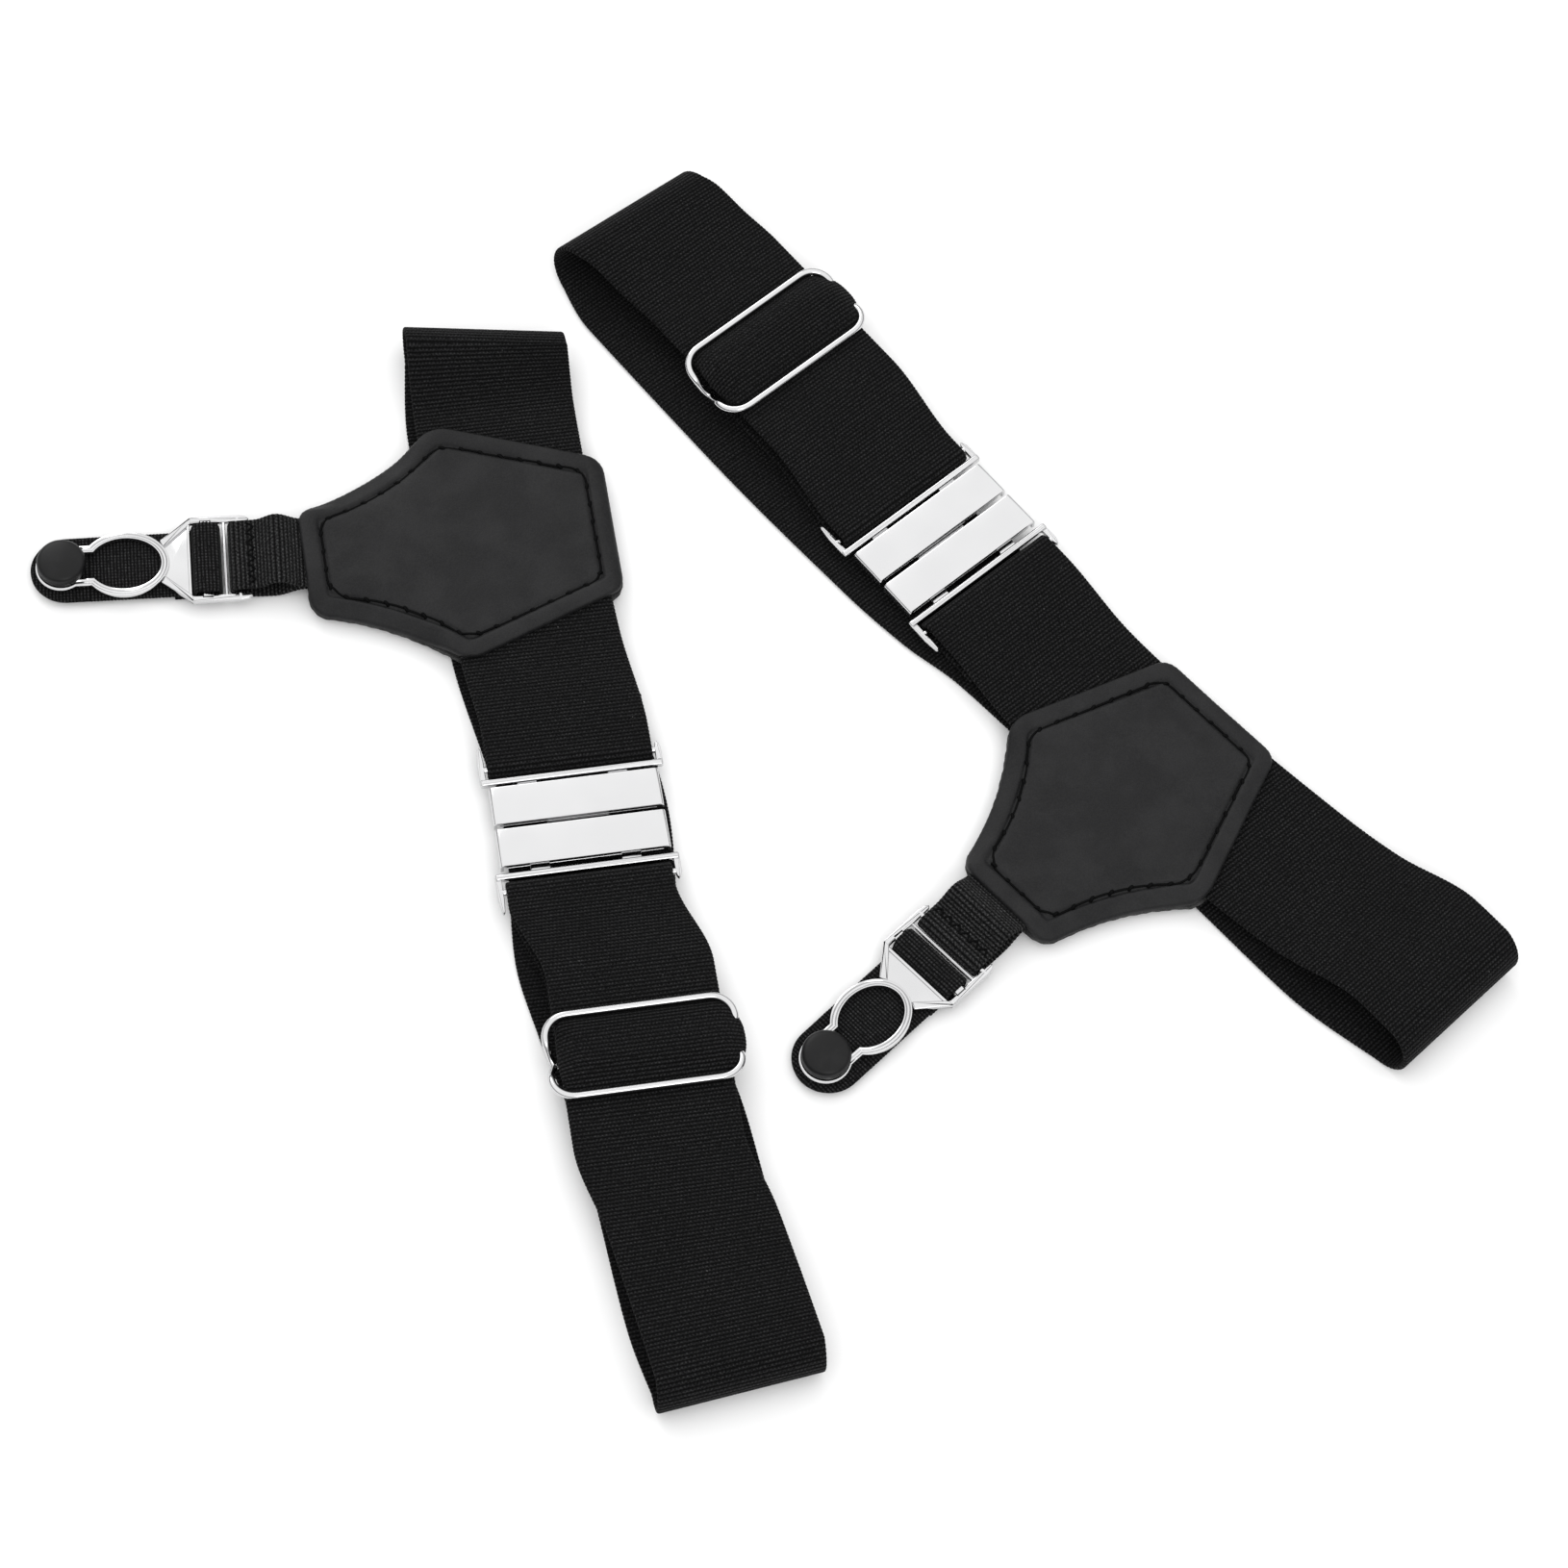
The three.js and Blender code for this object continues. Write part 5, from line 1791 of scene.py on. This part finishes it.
    def make_stitches(self) -> None:
        """Stitches round the patch, each a thin thread in the groove that ends in a knot at its hole.

        A knot is a short thick rod that leans a little off the line and sinks at both ends. It is
        partly the thread at its hole and partly a dark stand-in for the shade inside the stitch hole.
        """
        lay, total = self.lay, self.stitch_points
        fine = self.outline(self.stitch_inset, total)
        number = int(travelled(np.concatenate([fine, fine[:1]]))[-1] / self.stitch_pitch)
        along = np.linspace(-1, 1, 9)
        reach = 0.47 * total / number
        short = np.linspace(-0.42, 0.42, 7)
        parts = []
        for i in range(number):
            path = fine[(i * total / number + along * reach).astype(int) % total]
            z = self.upper_height(path) + 0.06 - 0.2 * along**4
            sway = 0.12 * math.sin(i * 2.4)
            parts.append(sweep_rod(np.column_stack([path + sway, z]), self.thread, THREAD_SIDES))
            # each knot is partly thread and partly a dark stand-in for the shade inside its stitch
            # hole
            at = (i + 0.5) * total / number
            hole = fine[int(at) % total]
            x, y = unit(fine[int(at + 5) % total] - hole)
            hole_shade_knot = hole + short[:, None] * np.array([x - 0.5 * y, y + 0.5 * x])
            z = self.upper_height(hole_shade_knot) + 0.16 - 1.5 * short**2
            parts.append(sweep_rod(np.column_stack([hole_shade_knot, z]), self.hole_shade_knot, THREAD_SIDES))
        name = lay.name("patch_thread")
        piece = make_piece(name, join_parts(parts), lay.patch, self.finishes.thread)
        ride(piece, lay.name("garter"), Slot.THREAD, lay.name("patch_stitching"))

    def make(self) -> None:
        """Make the whole patch."""
        self.make_front()
        self.make_back()
        self.make_stitches()


# ------------------------------------------------------------------ the sock clip


@dataclass
class SockClip:
    """The clip strap, the stamped clip frame, the ribbon tongue and the button."""

    lay: Lay
    finishes: Finishes
    strap_width: float = 15.0
    strap_thickness: float = 0.9
    flex: float = -11.2
    fold: float = 1.4
    rear_bar: float = 0.65
    plate_low: float = 2.4
    plate_high: float = 3.6
    half_width: float = 9.3
    arm: float = 1.35
    bar_gap: float = 0.6
    slot_c_end: float = 2.2
    slot_b_start: float = 3.2
    tongue_bar_start: float = 5.05
    tongue_bar_end: float = 7.45
    slot_a_end: float = 9.3
    oval_middle: float = 22.1
    oval_half_width: float = 5.45
    oval_half_length: float = 7.0
    button_place: float = 34.3
    end_radius: float = 3.5
    neck: float = 2.8
    stock: float = 1.6
    ribbon_z: float = 1.7
    ribbon_width: float = 14.0
    ribbon_thickness: float = 0.75
    ribbon_roll: float = 2.45
    ribbon_swell: float = 0.095
    tongue_split: float = 28.7
    tongue_tip: float = 40.4
    button_radius: float = 4.75
    button_tall: float = 3.1
    cloth_columns: int = 14

    def strip(
        self,
        word: str,
        route: Array,
        weave: Weave,
        material: bpy.types.Material,
        widen: Array | None = None,
    ) -> bpy.types.Object:
        """A piece of cloth that runs along the clip.

        Args:
            word: the piece's name on this side.
            route: its middle line, as [x, y, z] rows.
            weave: its section and ribs.
            material: its finish.
            widen: its width's share at each row.

        Returns:
            The object.
        """
        skew = np.full(len(route), -math.pi / 2)
        shape, cloth = sweep_strap(route, skew, weave, widen=widen)
        return make_piece(self.lay.name(word), shape, self.lay.clip, material, cloth, CLOTH_SHARP)

    def soft_route(self, rows: Array, soften: float) -> Array:
        """A middle line from [y, z] rows, at even steps and with soft corners."""
        return resample(np.column_stack([np.zeros(len(rows)), rows]), 0.14, soften)

    def make_strap(self) -> None:
        """The clip strap, from between the leathers round the clip's rear bar and back."""
        lay = self.lay
        high, low = lay.clip_z + self.fold, lay.clip_z - self.fold
        y = np.arange(-16.5, 0, 0.3)
        upper = through([
            (-17, 3.98), (-12.4, 3.98), (-7.4, high + 2.0), (-3.4, high + 0.1), (0, high),
        ])
        lower = through([
            (-17, 3.0), (-12.4, 3.0), (-6.5, low - 0.75), (-3, low - 0.6), (0, low),
        ])
        turn = half_turn(0, lay.clip_z, self.fold + 0.2, self.fold, True, 19)
        rows = np.concatenate([
            np.stack([y, lower(y)], axis=1),
            turn[:, [0, 2]],
            np.stack([y[::-1], upper(y[::-1])], axis=1),
        ])
        weave = Weave(self.strap_width, self.strap_thickness, 0.82, 0.03, 0.1, self.cloth_columns)
        route = self.soft_route(rows, 0.3)
        piece = self.strip("strap_loop", route, weave, self.finishes.strap)
        bodies = (lay.name("garter"), lay.name("strap"))
        ends = np.array([[0, self.flex - 0.6, 0], [0, self.flex + 0.9, 0]])
        nodes = (lay.name("clip_strap"), lay.name("clip_strap_sewn_end"))
        stretch(piece, lay.clip, bodies, ends, Slot.ELASTIC, *nodes)

    def make_zigzag(self) -> None:
        """The zigzag of thread across the strap behind the fold.

        It is a triangle wave along the clip, and each stroke is lifted in its middle by a cosine.
        """
        lay = self.lay
        x = np.linspace(-6.9, 6.9, 400)
        zig = np.abs(((x / 1.15) % 2) - 1)
        face = lay.clip_z + self.fold + self.strap_thickness / 2
        z = face + 0.16 - 0.1 * np.cos(2 * math.pi * zig)
        route = resample(np.stack([x, 1.5 * zig - 3.1, z], axis=1), 0.15, 0.12)
        shape = sweep_rod(route, 0.19, THREAD_SIDES)
        piece = make_piece(lay.name("strap_zigzag"), shape, lay.clip, self.finishes.thread)
        ride(piece, lay.name("strap"), Slot.THREAD, lay.name("clip_strap_stitching"))

    def keyhole(self, grow: float) -> Array:
        """The keyhole's outline: a small arc at the button, then a wide oval.

        Each is an ellipse, cut where it is as narrow as the neck.

        Args:
            grow: how far the outline is pushed out.

        Returns:
            Its points, as [x, y].
        """
        end, wide = self.end_radius + grow, self.oval_half_width + grow
        tall, neck = self.oval_half_length + grow, self.neck + grow
        a, b = math.asin(neck / end), math.asin(neck / wide)
        first = np.linspace(a - math.pi / 2, 1.5 * math.pi - a, 60)
        second = np.linspace(math.pi / 2 + b, 2.5 * math.pi - b, 100)
        tip = np.stack([end * np.cos(first), self.button_place + end * np.sin(first)], axis=1)
        oval = [wide * np.cos(second), self.oval_middle + tall * np.sin(second)]
        return np.concatenate([tip, np.stack(oval, axis=1)])

    def keyhole_ring(self) -> Shape:
        """The keyhole's rim: two raised edges with a shallow gutter between them.

        A profile of [share across the stock, share of the height] is carried round the keyhole.

        Returns:
            The closed ring.
        """
        inner, outer = self.keyhole(0.0), self.keyhole(self.stock)
        profile = np.array([
            (0.16, 0.0), (0.84, 0.0), (0.97, 0.12), (1.0, 0.3), (1.0, 0.75), (0.93, 0.95), (0.8, 1.0),
            (0.68, 0.9), (0.6, 0.76), (0.4, 0.76), (0.32, 0.9), (0.2, 1.0), (0.07, 0.95), (0.0, 0.75),
            (0.0, 0.3), (0.03, 0.12),
        ])
        share = profile[None, :, 0, None]
        flat = inner[:, None] * (1 - share) + outer[:, None] * share
        height = self.plate_low + (self.plate_high - self.plate_low) * profile[:, 1]
        height = np.broadcast_to(height, flat.shape[:2])
        points = np.concatenate([flat, height[..., None]], axis=-1)
        faces = grid_faces(len(inner), len(profile), True, True)
        return points.reshape(-1, 3), faces[:, ::-1].tolist()

    def frame_parts(self) -> list[Shape]:
        """The shapes of the stamped frame.

        Returns:
            The rim, the web, its raised edges, the side arms, the bars, the lip and the rear bar.
        """
        low, high, w, end = self.plate_low, self.plate_high, self.half_width, self.slot_a_end
        inner, bar_half = w - self.arm, w - self.bar_gap
        web_end = self.oval_middle - self.oval_half_length - self.stock + 0.9
        web = rounded([(-w + 0.5, end), (w - 0.5, end), (3.8, web_end), (-3.8, web_end)], 0.4)
        parts = [self.keyhole_ring(), soft_block(web, low, high - 0.5, 0.15)]
        edge = [(inner, end - 0.2), (w, end - 0.2), (4.6, web_end + 0.8), (3.1, web_end + 0.1)]
        arm = [
            (inner, -0.4), (w - 1.3, -1.9), (w - 0.85, -2.35), (w - 0.25, -1.7), (w, -0.2),
            (w, end), (inner, end),
        ]
        for sign in (-1, 1):
            for corners in (edge, arm):
                parts.append(soft_block(mirrored(corners, 0.18, (sign, 1)), low, high, 0.24))
        thin = rectangle(-bar_half, bar_half, self.slot_c_end + 0.2, self.slot_b_start - 0.2, 0.1)
        parts.append(soft_block(thin, low, high - 0.2, 0.15))
        wide = rectangle(-bar_half, bar_half, self.tongue_bar_start, self.tongue_bar_end, 0.1)
        parts.append(soft_block(wide, low, high, 0.28))
        near, far, short = end - 0.02, end + 0.65, w - 0.9
        lip = rounded([(-bar_half, near), (bar_half, near), (short, far), (-short, far)], 0.15)
        parts.append(soft_block(lip, low, high - 0.12, 0.16))
        x = np.linspace(-bar_half, bar_half, 9)
        rear = np.stack([x, 0 * x, 0 * x + self.lay.clip_z], axis=1)
        return [*parts, sweep_rod(rear, self.rear_bar)]

    def make_frame(self) -> None:
        """The stamped frame: keyhole rim, web with raised edges, bars and side arms."""
        lay, shape = self.lay, join_parts(self.frame_parts())
        name, bright = lay.name("clip_stamping"), self.finishes.bright
        piece = make_piece(name, shape, lay.clip, bright, sharp=40)
        ride(piece, lay.name("clip"), Slot.NICKEL, lay.name("clip_frame"))

    def make_ribbon(self) -> None:
        """The ribbon: sewn end, turn round the tongue bar, then under the clip to the tongue's end.

        It swells by a bell-shaped share where it goes round the bar.
        """
        lay, low = self.lay, self.ribbon_z
        middle = (self.tongue_bar_start + self.tongue_bar_end) / 2
        sewn = low - self.ribbon_thickness - 0.36
        left, right = middle - self.ribbon_roll, middle + self.ribbon_roll
        over = lay.clip_z + 1.3
        rows = np.array([
            (left + 9, sewn), (left + 1.8, sewn), (left + 0.6, sewn + 0.35), (left + 0.02, low),
            (left, lay.clip_z), (left + 0.3, over - 0.3), (left + 1.0, over), (middle, over + 0.12),
            (right - 1.0, over), (right - 0.3, over - 0.3), (right, lay.clip_z),
            (right + 0.25, low + 0.35), (right + 1.1, low), (self.tongue_split + 0.35, low),
        ])
        route = self.soft_route(rows, 0.22)
        swell = 1 + self.ribbon_swell * np.exp(-(((route[:, 1] - middle) / 2.6) ** 4))
        weave = Weave(
            self.ribbon_width, self.ribbon_thickness, 0.66, 0.012, 0.1, self.cloth_columns
        )
        piece = self.strip("ribbon_run", route, weave, self.finishes.ribbon, swell)
        bodies = (lay.name("clip"), lay.name("tongue"))
        ends = np.array([[0, self.slot_a_end + 0.4, 0], [0, self.tongue_split + 0.2, 0]])
        stretch(piece, lay.clip, bodies, ends, Slot.RIBBON, lay.name("tongue_ribbon"))

    def make_tongue(self) -> None:
        """The tongue's round end: its width's share is a half circle from where the sides end."""
        lay, half = self.lay, self.ribbon_width / 2
        side_end = self.tongue_tip - half
        y = np.concatenate([
            np.arange(self.tongue_split, side_end, 0.3),
            side_end + half * np.sin(np.linspace(0, math.pi / 2 - 0.02, 60)),
        ])
        past = np.clip(y - side_end, 0, half)
        share = np.sqrt(np.maximum(half**2 - past**2, 0.01)) / half
        route = np.stack([0 * y, y, 0 * y + self.ribbon_z], axis=1)
        weave = Weave(self.ribbon_width, self.ribbon_thickness, columns=self.cloth_columns)
        piece = self.strip("tongue_tip", route, weave, self.finishes.ribbon, share)
        ride(piece, lay.name("tongue"), Slot.RIBBON, lay.name("tongue_end"))

    def lathe(self, word: str, profile: Array, material: bpy.types.Material) -> bpy.types.Object:
        """A profile turned about the button's axis, and closed at both poles.

        Args:
            word: the piece's name on this side.
            profile: [radius, height] rows, from the bottom up.
            material: its finish.

        Returns:
            The object.
        """
        turn = np.linspace(0, 2 * math.pi, 72, endpoint=False)
        x, y = np.cos(turn), np.sin(turn)
        rings = [
            np.stack([radius * x, self.button_place + radius * y, 0 * turn + height], axis=1)
            for radius, height in profile
        ]
        name = self.lay.name(word)
        return make_piece(name, stack_rings(rings), self.lay.clip, material, sharp=60)

    def make_button(self) -> None:
        """The rubber button: neck, flat underside, upright wall and a softly crowned top."""
        base, r = self.plate_high + 0.3, self.button_radius
        top = base + self.button_tall
        angle = np.linspace(0, math.pi / 2 - 0.25, 10)
        bend = [r - 1.25 + 1.25 * np.cos(angle), top - 1.5 + 1.15 * np.sin(angle)]
        edge, rim = bend[0][-1], bend[1][-1] + 0.03
        crown = np.linspace(edge - 0.2, 0.05, 12)
        foot = [
            (2.3, self.ribbon_z + 0.5), (2.35, base - 0.1), (2.5, base), (r - 0.5, base),
            (r - 0.1, base + 0.2), (r, base + 0.55),
        ]
        dome = np.stack([crown, rim + (top - rim) * (1 - (crown / edge) ** 2)], axis=1)
        profile = np.concatenate([foot, np.stack(bend, axis=1), dome])
        piece = self.lathe("button_rubber", profile, self.finishes.rubber)
        ride(piece, self.lay.name("tongue"), Slot.RUBBER, self.lay.name("button_knob"))

    def make_stud(self) -> None:
        """The stud's disc under the ribbon, with a rolled edge, and its pin."""
        angle = np.linspace(-math.pi / 2, math.pi / 2, 9)
        rim = np.stack([3.6 + 0.4 * np.cos(angle), 0.6 + 0.38 * np.sin(angle)], axis=1)
        disc = [(0.05, 0.34), (2.4, 0.34), (3.0, 0.24)]
        pin = [(0.85, 0.98), (0.8, 1.1), (0.8, 4.9)]
        piece = self.lathe("stud_metal", np.concatenate([disc, rim, pin]), self.finishes.satin)
        ride(piece, self.lay.name("tongue"), Slot.NICKEL, self.lay.name("button_stud"))

    def make(self) -> None:
        """Make every piece of the clip."""
        self.make_strap()
        self.make_zigzag()
        self.make_frame()
        self.make_ribbon()
        self.make_tongue()
        self.make_button()
        self.make_stud()


# ------------------------------------------------------------------ table, light and camera


def stand(name: str, data: bpy.types.ID, axes: Sequence[Array], place: Array) -> bpy.types.Object:
    """Put a lamp or a camera in the room.

    Args:
        name: the object's name.
        data: the lamp or the camera.
        axes: its right, its up and its back, as unit directions.
        place: where it stands, in metres.

    Returns:
        The object.
    """
    thing = bpy.data.objects.new(name, data)
    bpy.context.scene.collection.objects.link(thing)
    rows = np.column_stack([*axes, place]).tolist()
    thing.matrix_world = Matrix([*rows, [0, 0, 0, 1]])
    return thing


@dataclass
class Studio:
    """A pale table, soft light from above and a long lens."""

    elevation: float = 64.0
    roll: float = -7.5
    distance: float = 1.0
    lens: float = 119.1
    sensor: float = 36.0
    look_from_left: tuple[float, float] = (57.1, -45.8)
    table_half: float = 3.0
    table_tints: tuple[Tint, Tint] = ((0.93, 0.93, 0.93), (0.96, 0.96, 0.96))
    sky_strength: float = 1.3

    def make_table(self) -> None:
        """A wide pale plane at the garters' feet, with a faint unevenness of tone."""
        g = Graph("table_white")
        tone = g.blend(g.noise(g.place(), 60.0), *self.table_tints)
        g.feed(Base_Color=tone, Roughness=0.7, Specular_IOR_Level=0.2)
        mesh = bpy.data.meshes.new("table")
        r = self.table_half
        mesh.from_pydata([(-r, -r, 0), (r, -r, 0), (r, r, 0), (-r, r, 0)], [], [(0, 1, 2, 3)])
        mesh.materials.append(g.material)
        table = bpy.data.objects.new("table", mesh)
        bpy.context.scene.collection.objects.link(table)

    def make_light(self, name: str, place: Sequence[float], size: float, watts: float) -> None:
        """A square softbox that faces the garters.

        Args:
            name: its name.
            place: where it hangs, in metres.
            size: the length of its side, in metres.
            watts: its power.
        """
        lamp = bpy.data.lights.new(name, "AREA")
        lamp.size = size
        lamp.energy = watts
        back = unit(np.array(place, float))
        right = unit(np.cross([0.0, 1.0, 0.001], back))
        stand(name, lamp, (right, np.cross(back, right), back), np.array(place, float))

    def make_sky(self) -> None:
        """A white room: bright overhead, greyer towards the horizon."""
        world = bpy.data.worlds.new("white_room")
        world.use_nodes = True
        tree = world.node_tree
        tree.nodes.clear()
        where = tree.nodes.new("ShaderNodeTexCoord")
        split = tree.nodes.new("ShaderNodeSeparateXYZ")
        ramp = tree.nodes.new("ShaderNodeValToRGB")
        stops = ((0.05, (0.03, 0.03, 0.032, 1)), (0.62, (1.0, 1.0, 1.0, 1)))
        for element, (position, tint) in zip(ramp.color_ramp.elements, stops):
            element.position = position
            element.color = tint
        glow = tree.nodes.new("ShaderNodeBackground")
        glow.inputs["Strength"].default_value = self.sky_strength
        output = tree.nodes.new("ShaderNodeOutputWorld")
        tree.links.new(where.outputs["Generated"], split.inputs[0])
        tree.links.new(split.outputs["Z"], ramp.inputs["Fac"])
        tree.links.new(ramp.outputs["Color"], glow.inputs["Color"])
        tree.links.new(glow.outputs[0], output.inputs["Surface"])
        bpy.context.scene.world = world

    def make_camera(self) -> None:
        """A long lens high above the near side of the table, rolled a little."""
        shift = np.array([*self.look_from_left, 0.0]) / MM
        look = (LAYS[0].garter.origin + shift) * (1, 1, 0)
        e, r = math.radians(self.elevation), math.radians(self.roll)
        level, upright = np.array([1.0, 0.0, 0.0]), np.array([0.0, math.sin(e), math.cos(e)])
        back = np.array([0.0, -math.cos(e), math.sin(e)])
        right = math.cos(r) * level - math.sin(r) * upright
        up = math.sin(r) * level + math.cos(r) * upright
        lens = bpy.data.cameras.new("long_lens")
        lens.lens = self.lens
        lens.sensor_width = self.sensor
        lens.clip_start = 0.05
        place = look + back * self.distance
        bpy.context.scene.camera = stand("camera", lens, (right, up, back), place)

    def make(self) -> None:
        """Set the whole studio up."""
        self.make_camera()
        self.make_table()
        self.make_sky()
        self.make_light("softbox_back", (-0.8, 1.3, 0.9), 0.8, 6.0)
        self.make_light("softbox_near", (0.5, -1.2, 1.1), 0.7, 4.0)
        bpy.context.scene.view_settings.view_transform = "Standard"


def main() -> None:
    """Build both garters and the studio, and write how large they are."""
    logging.basicConfig(level=logging.INFO, format="%(message)s")
    Studio().make()
    finishes = Finishes()
    for lay in LAYS:
        for assembly in (Band, Clasp, Slider, Patch, SockClip):
            assembly(lay, finishes).make()


if __name__ == "__main__":
    main()
